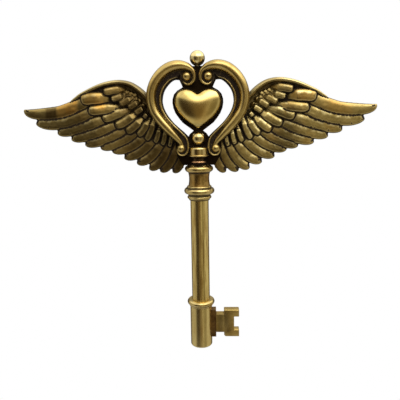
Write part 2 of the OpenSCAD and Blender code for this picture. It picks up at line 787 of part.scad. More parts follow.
// Round roll along the leading edge, thinner towards the tip
module leading_edge() {
    pts = curve(edge_line, 1);
    n = len(pts) - 1;
    for (i = [0:n - 1]) hull() for (j = [i, i + 1]) {
        r = edge_roll_d / 2 * mix(1, edge_end, pow(j / n, 2));
        translate(in_wing(pts[j], r + edge_depth * mix(1, edge_end_depth, j / n))) sphere(r, $fn = 12);
        translate(in_wing(pts[j], backing_t)) rotate([-90, 0, 0])
            cylinder(r = r * edge_foot, h = backing_t, $fn = 10);
    }
}

// Sheet behind the feathers, from under the edge roll to their outer halves
module wing_backing() {
    tops = curve(backing_top, 1);
    loft([for (i = [0:len(tops) - 1])
        let (a = backing_end[i], b = tops[i], c = mix(a, b, 0.5))
        concat([for (p = [a, c, b]) in_wing(p, backing_t)], [for (p = [b, c, a]) in_wing(p, 0)])]);
}

module wing() {
    color([0.5, 0.4, 0.18]) difference() {
        union() {
            leading_edge();
            wing_backing();
            feather_row(flight_count, flight_root, flight_bend, flight_tip,
                flight_w, flight_end, 0, flight_t);
            feather_row(covert_count, covert_root, covert_bend, covert_tip,
                covert_w, covert_end, covert_low, covert_crest);
            feather_row(small_count, small_root, small_bend, small_tip,
                small_w, small_end, small_low, small_crest);
        }
        upright(back_y + tiny, 2 * wall_y) offset(delta = wing_gap) plate_half_solid();
        upright(wall_y, 3 * wall_y) offset(delta = -wing_tuck) plate_half_solid();
        for (p = [lug_upper, lug_lower]) rod_y(p, boss_r + wing_gap, back_y - 1, wall_y);
        translate([0, 0, waist_z]) cylinder(r = flange_d / 2 + wing_gap, h = wing_gap - waist_z);
    }
}

module left_wing() {
    mirror([1, 0, 0]) wing();
}

module right_wing() {
    wing();
}

// Brass lug: three bars, with bosses that stand on the plate's back
module wing_lug() {
    color([0.55, 0.45, 0.24]) difference() {
        union() {
            upright(lug_back_y, lug_t) union() {
                bar2(lug_upper, lug_pad, lug_r, lug_bar_w);
                bar2(lug_lower, lug_pad, lug_r, lug_bar_w);
                bar2(lug_pad, lug_braze, lug_r, lug_bar_w);
            }
            for (p = [lug_upper, lug_lower]) rod_y(p, boss_r, back_y, wing_back_y + lug_t / 2);
        }
        for (p = [lug_upper, lug_lower]) rod_y(p, wing_screw_d / 2 + screw_fit, back_y - 1, lug_back_y + 1);
        rod_y(lug_pad, wing_screw_d / 2, wing_back_y - 1, lug_back_y + 1);
    }
}

module left_wing_lug() {
    mirror([1, 0, 0]) wing_lug();
}

module right_wing_lug() {
    wing_lug();
}

// Pan-head screw along Y, with its head at the back
module screw(p, d, head_y, length) {
    difference() {
        union() {
            rod_y(p, d / 2, head_y - length, head_y + tiny);
            rod_y(p, d * head_r_share, head_y, head_y + head_t);
        }
        translate([p[0] - d, head_y + head_t - slot_w, p[1] - slot_w / 2]) cube([2 * d, 1, slot_w]);
    }
}

module wing_screws() {
    color([0.62, 0.5, 0.26]) both_sides() for (p = [lug_upper, lug_lower])
        screw(p, wing_screw_d, lug_back_y, lug_back_y - front_y - plate_skin - tip_gap);
}

module back_screws() {
    color([0.62, 0.5, 0.26]) {
        both_sides() for (p = back_points) screw(p, back_screw_d, back_y, plate_t + screw_bite - tip_gap);
        for (p = centre_points) screw(p, back_screw_d, back_y, plate_t + screw_bite - tip_gap);
    }
}

// Strap folded round the ring's bar
module hanger_strap() {
    color([0.6, 0.52, 0.3]) difference() {
        union() {
            translate([-strap_w / 2, ring_y, hinge_z]) rotate([0, 90, 0]) cylinder(r = loop_r, h = strap_w);
            translate([-strap_w / 2, back_y, hinge_z - strap_len]) cube([strap_w, strap_t, strap_len]);
        }
        translate([-strap_w / 2 - 1, ring_y, hinge_z]) rotate([0, 90, 0])
            cylinder(r = ring_bar_r + ring_fit, h = strap_w + 2);
        for (z = hanger_hole_z)
            rod_y([0, z], back_screw_d / 2 + screw_fit, back_y - 1, back_y + strap_t + 1);
    }
}

// Ring with a straight bar, two short legs and a half-round bow
module hanging_ring() {
    r = ring_bar_r;
    top_z = hinge_z + ring_leg;
    color([0.62, 0.54, 0.32]) union() {
        translate([-ring_half_w, ring_y, hinge_z]) rotate([0, 90, 0]) cylinder(r = r, h = 2 * ring_half_w);
        for (side = [-1, 1]) translate([side * ring_half_w, ring_y, hinge_z]) {
            sphere(r);
            cylinder(r = r, h = ring_leg);
        }
        translate([0, ring_y, top_z]) rotate([90, 0, 0])
            rotate_extrude(angle = 180) translate([ring_half_w, 0]) circle(r);
    }
}

module hanger_screws() {
    color([0.62, 0.5, 0.26]) for (z = hanger_hole_z)
        screw([0, z], back_screw_d, back_y + strap_t, strap_t + screw_bite - tip_gap);
}

// Rubber bumper with a recess for its screw's head
module wing_bumpers() {
    color([0.12, 0.11, 0.1]) both_sides() difference() {
        rod_y(lug_pad, bumper_d / 2, lug_back_y, wall_y);
        rod_y(lug_pad, wing_screw_d / 2 + screw_fit, lug_back_y - 1, wall_y + 1);
        rod_y(lug_pad, wing_screw_d * head_r_share + screw_fit, bumper_head_y, wall_y + 1);
    }
}

module sleeve_bumper() {
    color([0.12, 0.11, 0.1]) difference() {
        rod_y([0, pad_z], bumper_d / 2, 0, wall_y);
        translate([0, 0, sleeve_z]) cylinder(r = sleeve_d / 2, h = sleeve_len, $fn = 96);
        rod_y([0, pad_z], wing_screw_d / 2 + screw_fit, 0, wall_y + 1);
        rod_y([0, pad_z], wing_screw_d * head_r_share + screw_fit, bumper_head_y, wall_y + 1);
    }
}

module bumper_screws() {
    color([0.62, 0.5, 0.26]) {
        both_sides() screw(lug_pad, wing_screw_d, bumper_head_y, bumper_head_y - wing_back_y - tip_gap);
        screw([0, pad_z], wing_screw_d, bumper_head_y, bumper_head_y - sleeve_bore / 2 - tip_gap);
    }
}

placed() bow_plate();
placed() left_scroll();
placed() right_scroll();
placed() heart();
placed() crown_ball();
placed() lower_ball();
placed() plinth();
placed() neck_cove();
placed() upper_flange();
placed() waist();
placed() collar_bead();
placed() seat_ring();
placed() shank_tube();
placed() lower_collar();
placed() bit_sleeve();
placed() bit_root();
placed() bit();
placed() bit_pins();
placed() end_plug();
placed() tie_rod();
placed() rod_washer();
placed() rod_nut();
placed() left_wing();
placed() right_wing();
placed() left_wing_lug();
placed() right_wing_lug();
placed() wing_screws();
placed() back_screws();
placed() hanger_strap();
placed() hanging_ring();
placed() hanger_screws();
placed() wing_bumpers();
placed() sleeve_bumper();
placed() bumper_screws();
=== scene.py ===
import json
import math

import bmesh
import bpy
import numpy as np
from mathutils import Matrix, Vector, kdtree, noise


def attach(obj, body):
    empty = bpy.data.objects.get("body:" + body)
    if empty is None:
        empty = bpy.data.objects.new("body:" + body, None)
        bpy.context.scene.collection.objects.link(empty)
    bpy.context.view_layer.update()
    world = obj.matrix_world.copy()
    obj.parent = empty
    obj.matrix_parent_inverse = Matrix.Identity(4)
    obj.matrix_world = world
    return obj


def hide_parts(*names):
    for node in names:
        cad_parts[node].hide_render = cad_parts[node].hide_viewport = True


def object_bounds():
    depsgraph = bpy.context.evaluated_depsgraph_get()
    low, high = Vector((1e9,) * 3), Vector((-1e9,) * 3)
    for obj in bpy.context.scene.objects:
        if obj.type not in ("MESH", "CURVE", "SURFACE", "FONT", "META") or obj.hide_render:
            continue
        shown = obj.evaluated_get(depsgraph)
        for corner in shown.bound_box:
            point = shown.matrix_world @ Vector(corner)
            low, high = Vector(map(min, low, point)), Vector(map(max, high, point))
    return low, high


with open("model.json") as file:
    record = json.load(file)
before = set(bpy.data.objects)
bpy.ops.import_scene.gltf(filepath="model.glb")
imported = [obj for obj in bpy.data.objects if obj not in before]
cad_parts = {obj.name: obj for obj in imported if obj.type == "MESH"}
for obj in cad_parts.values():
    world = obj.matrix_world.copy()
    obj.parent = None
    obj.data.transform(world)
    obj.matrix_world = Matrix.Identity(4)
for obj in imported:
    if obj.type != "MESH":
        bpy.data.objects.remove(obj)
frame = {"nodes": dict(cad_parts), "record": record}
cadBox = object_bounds()
print("frame loaded:", len(frame["nodes"]), "nodes")

# Pieces are drawn in millimetres from the key's axis and the top of its flange, as the part's source is,
# and moved into the frame at the end.
keyPlace = {"depth": 7.0, "height": 95.7, "drawShare": 0.953, "drawSlope": 0.00036}
toFrame = Matrix.Scale(0.001, 4) @ Matrix.Translation((0, -keyPlace["depth"], -keyPlace["height"]))


def real(p):
    # a point drawn over the photo, brought to its real place: what stands higher is nearer the camera
    share = keyPlace["drawShare"] / (1 + keyPlace["drawSlope"] * p[1])
    return tuple(c * share for c in p)


def reals(points):
    return [real(p) for p in points]


plate = {"front": -4.0, "back": 4.0, "crownSeat": 97.2, "middle": real((20, 70)), "overhang": 0.9,
         "foot": reals([(24.4, 25), (24.6, 17), (22.4, 9), (19, 3), (17, 0)])}
scrollEdge = reals([(9, 110.4), (21, 112.9), (33, 109.9), (43.8, 102.8), (51, 92.6), (54.8, 81.5),
                    (54.9, 68.5), (50.9, 55), (44, 44.7), (35.2, 36.3), (27.6, 30.2)])


def mixed(a, b, t):
    return a + (b - a) * t


def onCurve(points, u):
    # smooth curve through all the points, u counts from point to point
    n = len(points)
    i = min(int(u), n - 2)
    p0, p1, p2, p3 = (np.array(points[k], float) for k in (max(i - 1, 0), i, i + 1, min(i + 2, n - 1)))
    t = u - i
    return 0.5 * (2 * p1 + (p2 - p0) * t + (2 * p0 - 5 * p1 + 4 * p2 - p3) * t * t
                  + (3 * p1 - p0 - 3 * p2 + p3) * t ** 3)


def ofRow(points, i, count):
    return onCurve(points, i / (count - 1) * (len(points) - 1))


def closing(t, start, power):
    # 1 until start, then round down to 0 at t = 1
    return max(1 - max((t - start) / (1 - start), 0) ** power, 0) ** 0.5


def gridVerts(bm, along, across):
    made = bmesh.ops.create_grid(bm, x_segments=along, y_segments=across, size=1)["verts"]
    faces = list({f for v in made for f in v.link_faces})
    return made, faces


def only(kind, items):
    return [item for item in items if isinstance(item, kind)]


def grownVerts(bm, faces):
    return only(bmesh.types.BMVert, bmesh.ops.extrude_face_region(bm, geom=faces)["geom"])


def closeBehind(bm, faces, depthOf):
    # the sheet gets a back, so that it is a closed solid
    for v in grownVerts(bm, faces):
        v.co.y = depthOf(v.co)


def objectFrom(name, data):
    holder = bpy.data.objects.new(name, data)
    bpy.context.scene.collection.objects.link(holder)
    return holder


def pieceFrom(name, bm):
    bmesh.ops.recalc_face_normals(bm, faces=bm.faces)
    mesh = bpy.data.meshes.new(name)
    bm.to_mesh(mesh)
    bm.free()
    return objectFrom(name, mesh)


def openMesh(piece):
    bm = bmesh.new()
    bm.from_mesh(piece.data)
    return bm


def closeMesh(piece, bm):
    bm.to_mesh(piece.data)
    bm.free()


def coordinates(mesh, kind="co"):
    values = np.zeros(len(mesh.vertices) * 3)
    mesh.vertices.foreach_get(kind, values)
    return values.reshape(-1, 3)


def edgeEnds(mesh):
    ends = np.zeros(len(mesh.edges) * 2, np.int64)
    mesh.edges.foreach_get("vertices", ends)
    return ends.reshape(-1, 2).T


def applyModifiers(piece):
    bpy.context.view_layer.update()
    graph = bpy.context.evaluated_depsgraph_get()
    done = bpy.data.meshes.new_from_object(piece.evaluated_get(graph))
    old = piece.data
    piece.modifiers.clear()
    piece.data = done
    done.name = piece.name
    bpy.data.meshes.remove(old)


def remeshed(piece, voxel, rounds=2, cutters=()):
    # one skin over all the overlapping solids, then cuts, then a light smoothing as of a casting
    skin = piece.modifiers.new("skin", "REMESH")
    skin.mode = "VOXEL"
    skin.voxel_size = voxel
    for cutter in cutters:
        cut = piece.modifiers.new("cut", "BOOLEAN")
        cut.operation = "DIFFERENCE"
        cut.solver = "EXACT"
        cut.object = cutter
    applyModifiers(piece)
    for cutter in cutters:
        bpy.data.objects.remove(cutter)
    bm = openMesh(piece)
    for _ in range(rounds):
        bmesh.ops.smooth_vert(bm, verts=bm.verts, factor=0.5, use_axis_x=True, use_axis_y=True,
                              use_axis_z=True)
    closeMesh(piece, bm)


def storeValues(mesh, **marks):
    for name, values in marks.items():
        layer = mesh.attributes.get(name) or mesh.attributes.new(name, "FLOAT", "POINT")
        layer.data.foreach_set("value", np.asarray(values, np.float32))


def readValues(mesh, name):
    values = np.zeros(len(mesh.vertices), np.float32)
    mesh.attributes[name].data.foreach_get("value", values)
    return values


def unit(values):
    return np.clip(values, 0, 1)


def hollows(fine, broad, depth):
    return unit(-(broad + 0.8 * fine) / depth)


def within(values, span, soft):
    return unit((values - span[0]) / soft) * unit((span[1] - values) / soft)


def feelRelief(mesh, fine=4, broad=40):
    # how far each point stands out of, or lies below, a smoothed copy of the skin, in millimetres
    count = len(mesh.vertices)
    co, normals = coordinates(mesh), coordinates(mesh, "normal")
    a, b = edgeEnds(mesh)
    near = np.maximum(np.bincount(a, minlength=count) + np.bincount(b, minlength=count), 1)
    smooth, reliefs = co, []
    for step in range(1, broad + 1):
        total = [np.bincount(a, smooth[b, axis], count) + np.bincount(b, smooth[a, axis], count)
                 for axis in range(3)]
        smooth = 0.4 * smooth + 0.6 * np.array(total).T / near[:, None]
        if step in (fine, broad):
            reliefs.append(((co - smooth) * normals).sum(1))
    return reliefs


def finishPiece(piece, material, node, sharpAngle=None):
    # in place of its solid, on the same body
    mesh = piece.data
    mesh.transform(toFrame)
    mesh.shade_smooth()
    if sharpAngle is not None:
        mesh.set_sharp_from_angle(angle=math.radians(sharpAngle))
    mesh.materials.clear()
    mesh.materials.append(material)
    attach(piece, "key")
    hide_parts(node)


def mirroredCopy(piece, name):
    mesh = piece.data.copy()
    mesh.name = name
    mesh.transform(Matrix.Scale(-1, 4, (1, 0, 0)))
    mesh.flip_normals()
    return objectFrom(name, mesh)


def link(tree, value, socket):
    # a socket takes a number, a colour, or what another node gives
    if isinstance(value, bpy.types.NodeSocket):
        tree.links.new(value, socket)
    elif socket.type == "RGBA":
        socket.default_value = (*value, 1)
    else:
        socket.default_value = value


def feed(tree, node, values):
    for label, value in values.items():
        link(tree, value, node.inputs[label])
    return node


def newGroup(name, keys, outputs):
    # its inputs are named as the keys of a look and take their kinds from the base look
    group = bpy.data.node_groups.new(name, "ShaderNodeTree")
    for key in keys:
        value = brassBase[key]
        plain = isinstance(value, (int, float))
        kind = "Float" if plain else "Vector" if key == "along" else "Color"
        socket = group.interface.new_socket(key, in_out="INPUT", socket_type="NodeSocket" + kind)
        socket.default_value = (*value, 1) if kind == "Color" else value
    for label, kind in outputs.items():
        group.interface.new_socket(label, in_out="OUTPUT", socket_type="NodeSocket" + kind)
    return group, group.nodes.new("NodeGroupInput").outputs, group.nodes.new("NodeGroupOutput")


def groupNode(tree, group, look):
    node = tree.nodes.new("ShaderNodeGroup")
    node.node_tree = group
    return feed(tree, node, {key: look[key] for key in node.inputs.keys()})


def mathNode(tree, operation, a, b, kind="ShaderNodeMath"):
    node = tree.nodes.new(kind)
    node.operation = operation
    link(tree, a, node.inputs[0])
    link(tree, b, node.inputs[1])
    return node.outputs[0]


def times(tree, a, b):
    return mathNode(tree, "MULTIPLY", a, b)


def plus(tree, a, b):
    return mathNode(tree, "ADD", a, b)


def highest(tree, a, b):
    return mathNode(tree, "MAXIMUM", a, b)


def upToOne(tree, value):
    return mathNode(tree, "MINIMUM", value, 1)


def objectPlace(tree):
    return tree.nodes.new("ShaderNodeTexCoord").outputs["Object"]


def attributeNode(tree, name):
    node = tree.nodes.new("ShaderNodeAttribute")
    node.attribute_name = name
    return node.outputs["Fac"]


def rangeNode(tree, value, low, high, toLow=0.0, toHigh=1.0):
    node = tree.nodes.new("ShaderNodeMapRange")
    node.interpolation_type = "SMOOTHSTEP"
    feed(tree, node, {"Value": value, "From Min": low, "From Max": high, "To Min": toLow,
                      "To Max": toHigh})
    return node.outputs["Result"]


def mixColour(tree, factor, a, b):
    node = tree.nodes.new("ShaderNodeMix")
    node.data_type = "RGBA"
    for i, value in ((0, factor), (6, a), (7, b)):
        link(tree, value, node.inputs[i])
    return node.outputs[2]


def mixShader(tree, factor, a, b):
    node = tree.nodes.new("ShaderNodeMixShader")
    for value, socket in zip((factor, a, b), node.inputs):
        link(tree, value, socket)
    return node.outputs[0]


def noiseNode(tree, vector, scale, detail=3, roughness=0.55, distortion=0.0):
    node = tree.nodes.new("ShaderNodeTexNoise")
    feed(tree, node, {"Vector": vector, "Scale": scale, "Detail": detail, "Roughness": roughness,
                      "Distortion": distortion})
    return node.outputs["Fac"]


def bumpNode(tree, height, strength, distance):
    node = tree.nodes.new("ShaderNodeBump")
    return feed(tree, node, {"Height": height, "Strength": strength, "Distance": distance}).outputs[0]


def makePatinaShadeGroup():
    # dark patina and painted shade in hollows and where pieces meet, broken up by noise
    group, given, out = newGroup("hollowPatinaShade", ("recess", "reach", "grimeAmount"), {"Mask": "Float"})
    hollow = group.nodes.new("ShaderNodeAmbientOcclusion")
    hollow.samples = 16
    link(group, given["reach"], hollow.inputs["Distance"])
    shade = rangeNode(group, hollow.outputs["AO"], 0.75, 0.25)
    speck = noiseNode(group, objectPlace(group), 420, 4)
    both = highest(group, shade, given["recess"])
    broken = times(group, both, rangeNode(group, speck, 0.2, 0.7, 0.75, 1.25))
    link(group, upToOne(group, times(group, broken, given["grimeAmount"])), out.inputs["Mask"])
    return group


def makeMottleGroup():
    # tone of old brass: olive to brown clouds, amber patches and fine specks
    group, given, out = newGroup("brassMottle", ("bright", "olive", "amber", "scale", "cloud",
                                                 "amberAmount"), {"Color": "Color", "Tone": "Float"})
    place, scale = objectPlace(group), given["scale"]
    cloud = noiseNode(group, place, scale, 5, 0.6, 0.3)
    specks = noiseNode(group, place, times(group, scale, 9), 3)
    tone = plus(group, times(group, cloud, 0.75), times(group, specks, 0.25))
    oliveMask = times(group, rangeNode(group, tone, 0.42, 0.62), given["cloud"])
    base = mixColour(group, oliveMask, given["bright"], given["olive"])
    shifted = mathNode(group, "ADD", place, (0.37, 0.11, 0.23), "ShaderNodeVectorMath")
    warm = noiseNode(group, shifted, times(group, scale, 0.6), 2, 0.5)
    amberMask = times(group, rangeNode(group, warm, 0.54, 0.68), given["amberAmount"])
    link(group, mixColour(group, amberMask, base, given["amber"]), out.inputs["Color"])
    link(group, tone, out.inputs["Tone"])
    return group


def makeSurfaceGroup():
    # cast skin and fine rubbing marks, for bump and roughness
    group, given, out = newGroup("metalSkin", ("grain", "rub", "along", "lines"),
                                 {"Height": "Float", "Marks": "Float"})
    place, grain = objectPlace(group), given["grain"]
    skin = noiseNode(group, place, grain, 4, 0.6)
    lumps = noiseNode(group, place, times(group, grain, 0.18), 2, 0.5)
    stretched = mathNode(group, "MULTIPLY", place, given["along"], "ShaderNodeVectorMath")
    marks = noiseNode(group, stretched, given["lines"], 3, 0.6)
    height = plus(group, times(group, lumps, 0.7), times(group, skin, 0.2))
    rubbed = times(group, times(group, marks, given["rub"]), 0.25)
    link(group, plus(group, height, rubbed), out.inputs["Height"])
    link(group, marks, out.inputs["Marks"])
    return group


# the look of plain old brass; each material states what differs
brassBase = {"bright": (0.66, 0.50, 0.20), "olive": (0.40, 0.285, 0.085), "amber": (0.52, 0.275, 0.055),
             "deep": (0.13, 0.085, 0.028), "grime": (0.024, 0.012, 0.005), "polished": (0.97, 0.84, 0.46),
             "scale": 60, "cloud": 0.7, "amberAmount": 0.15, "grimeAmount": 1.0, "reach": 0.004,
             "lines": 2600, "streak": 0.0, "streakColour": (0.42, 0.27, 0.08), "rough": 0.2,
             "roughTone": 0.16, "roughPatinaShade": 0.5, "roughBehind": 0.3, "grimeDull": 0.6, "grain": 700,
             "rub": 0.5, "along": (1, 1, 0.05), "bump": 0.14, "bumpDepth": 0.0003, "worn": 0.85,
             "feathers": False, "recess": 0}

grimeGroup = makePatinaShadeGroup()
mottleGroup = makeMottleGroup()
skinGroup = makeSurfaceGroup()


def featherMasks(tree):
    # dark grooves, patina and painted shade, wider on a feather's upper side as painted shadow; and what
    # is pale:
    # a line inside its lower edge, wear and painted highlight,
    # and broken patches along its upper shoulder, painted highlight
    edge, across = attributeNode(tree, "edge"), attributeNode(tree, "across")
    place = objectPlace(tree)
    upper = rangeNode(tree, across, 0.0, 0.5)
    groove = rangeNode(tree, edge, plus(tree, times(tree, upper, 0.3), 0.3),
                       plus(tree, times(tree, upper, 0.7), 1.0), 1, 0)
    rim = times(tree, rangeNode(tree, edge, 0.8, 1.2), rangeNode(tree, edge, 1.5, 2.2, 1, 0))
    rim = times(tree, rim, rangeNode(tree, upper, 0, 1, 0.6, 0))
    shoulder = times(tree, rangeNode(tree, across, 0.05, 0.35), rangeNode(tree, across, 0.5, 0.72, 1, 0))
    patches = rangeNode(tree, noiseNode(tree, place, 150, 3), 0.42, 0.6)
    pale = plus(tree, rim, times(tree, shoulder, patches))
    return groove, times(tree, pale, attributeNode(tree, "shine"))


def newMaterial(name):
    material = bpy.data.materials.new(name)
    material.use_nodes = True
    tree = material.node_tree
    return material, tree, tree.nodes["Principled BSDF"]


def brassMaterial(name, **changes):
    look = {**brassBase, **changes}
    material, tree, shader = newMaterial(name)
    mottle = groupNode(tree, mottleGroup, look).outputs
    grime = groupNode(tree, grimeGroup, look)
    mask = grime.outputs["Mask"]
    skin = groupNode(tree, skinGroup, look).outputs
    streaks = times(tree, rangeNode(tree, skin["Marks"], 0.46, 0.62), look["streak"])
    colour = mixColour(tree, streaks, mottle["Color"], look["streakColour"])
    # what the piece's own points say of it; a piece without such a value counts as 0
    crest, recess = attributeNode(tree, "crest"), attributeNode(tree, "recess")
    if look["feathers"]:
        groove, pale = featherMasks(tree)
        crest, recess = highest(tree, crest, pale), highest(tree, recess, groove)
        # the shade value darkens towards deep brown: darker zones of the casting, and painted shade on the
        # left wing, the backing and the edge roll's lower side
        colour = mixColour(tree, attributeNode(tree, "shade"), colour, look["deep"])
    link(tree, recess, grime.inputs["recess"])
    patchy = rangeNode(tree, mottle["Tone"], 0.4, 0.6, 0.95, 0.45)
    colour = mixColour(tree, times(tree, attributeNode(tree, "amber"), patchy), colour, look["amber"])
    # crests rubbed pale by wear, and painted highlights that the crest value carries on feathers, the
    # wing's roll and the neck's bead
    colour = mixColour(tree, times(tree, crest, look["worn"]), colour, look["polished"])
    rough = plus(tree, look["rough"], times(tree, mottle["Tone"], look["roughTone"]))
    rough = plus(tree, rough, times(tree, mask, look["roughPatinaShade"]))
    if look["feathers"]:
        rough = plus(tree, rough, times(tree, attributeNode(tree, "behind"), look["roughBehind"]))
    # patina and painted shade darken the colour, roughen it and make it less metallic
    feed(tree, shader, {
        "Base Color": mixColour(tree, mask, colour, look["grime"]), "Roughness": upToOne(tree, rough),
        "Metallic": mathNode(tree, "SUBTRACT", 1, times(tree, mask, look["grimeDull"])),
        "Normal": bumpNode(tree, skin["Height"], look["bump"], look["bumpDepth"])})
    return material


wingBrass = brassMaterial("wingBrass", bright=(0.46, 0.35, 0.13), olive=(0.28, 0.205, 0.062), scale=85,
                          cloud=0.8, amberAmount=0.25, rough=0.28, worn=0.6, feathers=True)
scrollBrass = brassMaterial("scrollBrass", bright=(0.55, 0.41, 0.155), olive=(0.32, 0.225, 0.062),
                            scale=45, worn=0.35)
heartBrass = brassMaterial("heartBrass", bright=(0.70, 0.55, 0.215), olive=(0.45, 0.33, 0.10), scale=38,
                           cloud=0.6, amberAmount=0.2, rough=0.14)
turnedBrass = brassMaterial("turnedBrass", bright=(0.66, 0.52, 0.24), scale=45, along=(1, 1, 12),
                            rough=0.13)
ballBrass = brassMaterial("ballBrass", bright=(0.84, 0.70, 0.38), olive=(0.50, 0.37, 0.13), scale=45,
                          rough=0.13)
waistBrass = brassMaterial("waistBrass", bright=(0.46, 0.30, 0.10), olive=(0.20, 0.12, 0.035), scale=110,
                           cloud=0.9, amberAmount=0.4, rough=0.2)
tubeLook = {"scale": 55, "cloud": 0.5, "amberAmount": 0.2, "along": (1, 1, 0.04), "lines": 750,
            "rough": 0.15, "bump": 0.05}
shankBrass = brassMaterial("shankBrass", bright=(0.86, 0.69, 0.29), olive=(0.66, 0.49, 0.165),
                           streak=0.85, **tubeLook)
sleeveBrass = brassMaterial("sleeveBrass", bright=(0.80, 0.65, 0.30), olive=(0.62, 0.47, 0.17),
                            streak=0.3, **tubeLook)
bitBrass = brassMaterial("bitBrass", bright=(0.58, 0.43, 0.16), scale=90, cloud=0.8, rough=0.3)
# near black for the plate behind the pieces: painted shade
paintedShadeBrass = brassMaterial("paintedShadeBrass", bright=(0.02, 0.012, 0.006), olive=(0.008, 0.005, 0.003),
                          amberAmount=0.0, rough=0.5, cloud=0.9)
# the neck's cove is painted near black as shade, and the coppery line on its bead is a painted highlight
neckBrass = brassMaterial("neckBrass", bright=(0.05, 0.03, 0.014), olive=(0.02, 0.012, 0.006),
                          amberAmount=0.0, polished=(0.95, 0.55, 0.28), rough=0.3, cloud=0.9, worn=0.9)
# the bit's root block is painted darker brown, as shade
shadedRootBrass = brassMaterial("shadedRootBrass", bright=(0.22, 0.13, 0.05), olive=(0.10, 0.055, 0.02),
                          rough=0.3, cloud=0.9, scale=120, along=(1, 1, 0.1))
backBrass = brassMaterial("backBrass", bright=(0.50, 0.39, 0.19), rough=0.36, cloud=0.5)
screwBrass = brassMaterial("screwBrass", bright=(0.66, 0.52, 0.27), rough=0.3, cloud=0.35)
rodSteel = brassMaterial("rodSteel", bright=(0.62, 0.62, 0.63), olive=(0.4, 0.4, 0.41),
                         amber=(0.3, 0.28, 0.25), grime=(0.03, 0.03, 0.03), rough=0.34, cloud=0.4)


def rubberMaterial():
    material, tree, shader = newMaterial("bumperRubber")
    place = objectPlace(tree)
    dust = noiseNode(tree, place, 220, 4)
    feed(tree, shader, {
        "Base Color": mixColour(tree, rangeNode(tree, dust, 0.4, 0.75), (0.018, 0.018, 0.018),
                                (0.05, 0.048, 0.045)),
        "Roughness": rangeNode(tree, dust, 0.3, 0.7, 0.55, 0.75),
        "Normal": bumpNode(tree, noiseNode(tree, place, 1800, 3), 0.25, 0.0002)})
    return material


bumperRubber = rubberMaterial()
print("materials made")

# the right wing, drawn from its root outwards; the left one is its mirror copy
wing = {
    "flightRoot": reals([(112, 75), (88, 53), (66, 43.5), (46, 38), (30, 32), (17, 26)]),
    "flightBend": reals([
        (157, 48), (143, 39), (131, 37.5), (114.5, 31.2), (99.5, 25.2), (86, 20.4), (72.5, 14.2),
        (60.5, 8), (50, 0.8), (40, -4.6), (28.3, -5.4), (17, -6.4)]),
    "flightTip": reals([
        (192.8, 62.6), (179.3, 47.4), (154.6, 36.2), (138.8, 29.3), (123.4, 23.2), (106.6, 19.6),
        (94.6, 15.6), (82.2, 8), (68.6, 2.4), (55.2, -3.9), (43.2, -6.6), (29.6, -7.4)]),
    # middle and small rows, feather by feather: root, middle and tip, and the width
    "coverts": [((99.2, 71.6), (112.2, 73), (126.1, 70.3), 12.4),
                ((87.7, 63.3), (103.3, 60.7), (118.3, 59.2), 10.4),
                ((77.4, 59.8), (91.3, 54.6), (102.5, 49.4), 10.4),
                ((68.7, 55.8), (78.2, 48.5), (89.9, 41.7), 9.8),
                ((62.1, 50.6), (69.5, 42.3), (78.5, 35.5), 9.2),
                ((54.6, 49.7), (59.1, 39.3), (66, 31.6), 7.8),
                ((48.1, 49.9), (51.6, 36.9), (56.8, 26.4), 7),
                ((42.5, 41.4), (44, 31.7), (47.3, 23.5), 5.6),
                ((36, 38.4), (36.9, 28.7), (39.4, 21), 5.4),
                ((29.4, 33.2), (29.9, 25.6), (31.8, 19.1), 4.6)],
    "smalls": [((81.1, 82.4), (91.5, 81.4), (101.5, 78.6), 8.4),
               ((79.9, 75.4), (87, 73.6), (93.8, 71.2), 6.8),
               ((71.2, 72.9), (78.4, 69.6), (85.1, 65.5), 7.2),
               ((63.6, 68.8), (70, 65.5), (75.8, 61.5), 6.8),
               ((58.1, 62.5), (63.6, 59.5), (68.7, 55.8), 6.2),
               ((54.7, 56.1), (57, 53.5), (58.9, 50.6), 5)],
    # faint scales between the roll and the small feathers: first and last place of each row
    "scales": [((66, 77.5), (82, 84)), ((61.5, 71.5), (76, 79.5)), ((57.5, 65.5), (70, 74.5))],
    "scaleCount": 5, "scaleRun": (6.0, -2.0), "scaleWidth": 4.4, "scaleLap": 0.3,
    "edge": reals([
        (49.6, 66), (57.2, 74.8), (66, 82.9), (76, 88.6), (88, 90.4), (101, 88.2), (114, 83.4),
        (127, 77.4), (133, 73.8), (138.5, 70.4)]),
    "backingTop": reals([
        (24, 34), (44, 60), (57, 73), (68, 83), (80, 88), (92, 88.6), (106, 85), (120, 78.6), (136, 70),
        (150, 63), (168, 57)]),
    "backingEnd": reals([
        (17, -4.5), (29, 2), (42, 6), (54, 12), (67, 17.5), (80, 23.5), (95, 29), (111, 34.5),
        (128, 41), (144, 45.5), (164, 51)]),
    "backing": 2.6, "back": 9.0, "lift": 7.0, "liftFrom": 70, "liftPeak": 105, "liftTo": 190,
    # each row's foot and crest above the backing's back, its warm patches by feather, and how dull it is
    "flightWidth": 13.4, "flightCrest": 5.0, "flightAmber": 0.7, "flightDull": 0.25,
    "flightTaper": 0.64, "innerFrom": 8, "innerDull": 0.2, "rootBack": 0.12, "rootShare": 0.4,
    "covertRise": (1.5, 7.4), "covertAmber": {0: 0.55, 1: 0.2}, "covertDull": 0.1,
    "smallRise": (2.0, 8.4), "smallAmber": {0: 0.15}, "smallDull": 0.55,
    "scaleRise": (1.2, 4.6), "scaleDull": 0.85, "rollWidth": (6.2, 2.4), "rollHigh": (10.2, 1.6),
    "lap": 2.4, "voxel": 0.5, "jump": 0.95, "corner": 2.6, "hollow": 0.75, "rubbed": 0.9,
    "brownX": (40, 84), "brownZ": (50, 92), "brownSoft": 8, "brownShade": 0.6, "brownEdge": 1.6,
    "leftShade": (0.66, 0.3), "leftShine": (0.2, 0.7), "leftRun": (70, 150), "leftCrest": 0.75,
    "behindShade": 0.5, "behindFrom": 0.7,
    "leftWarm": (120, 145), "leftDark": (141, 157), "leftGlow": ((91, 107), (54, 68)),
    "pads": reals([(46.4, 66), (28, 37.6)]), "padRadius": 4.7, "gap": 0.3, "tuck": 3.0}

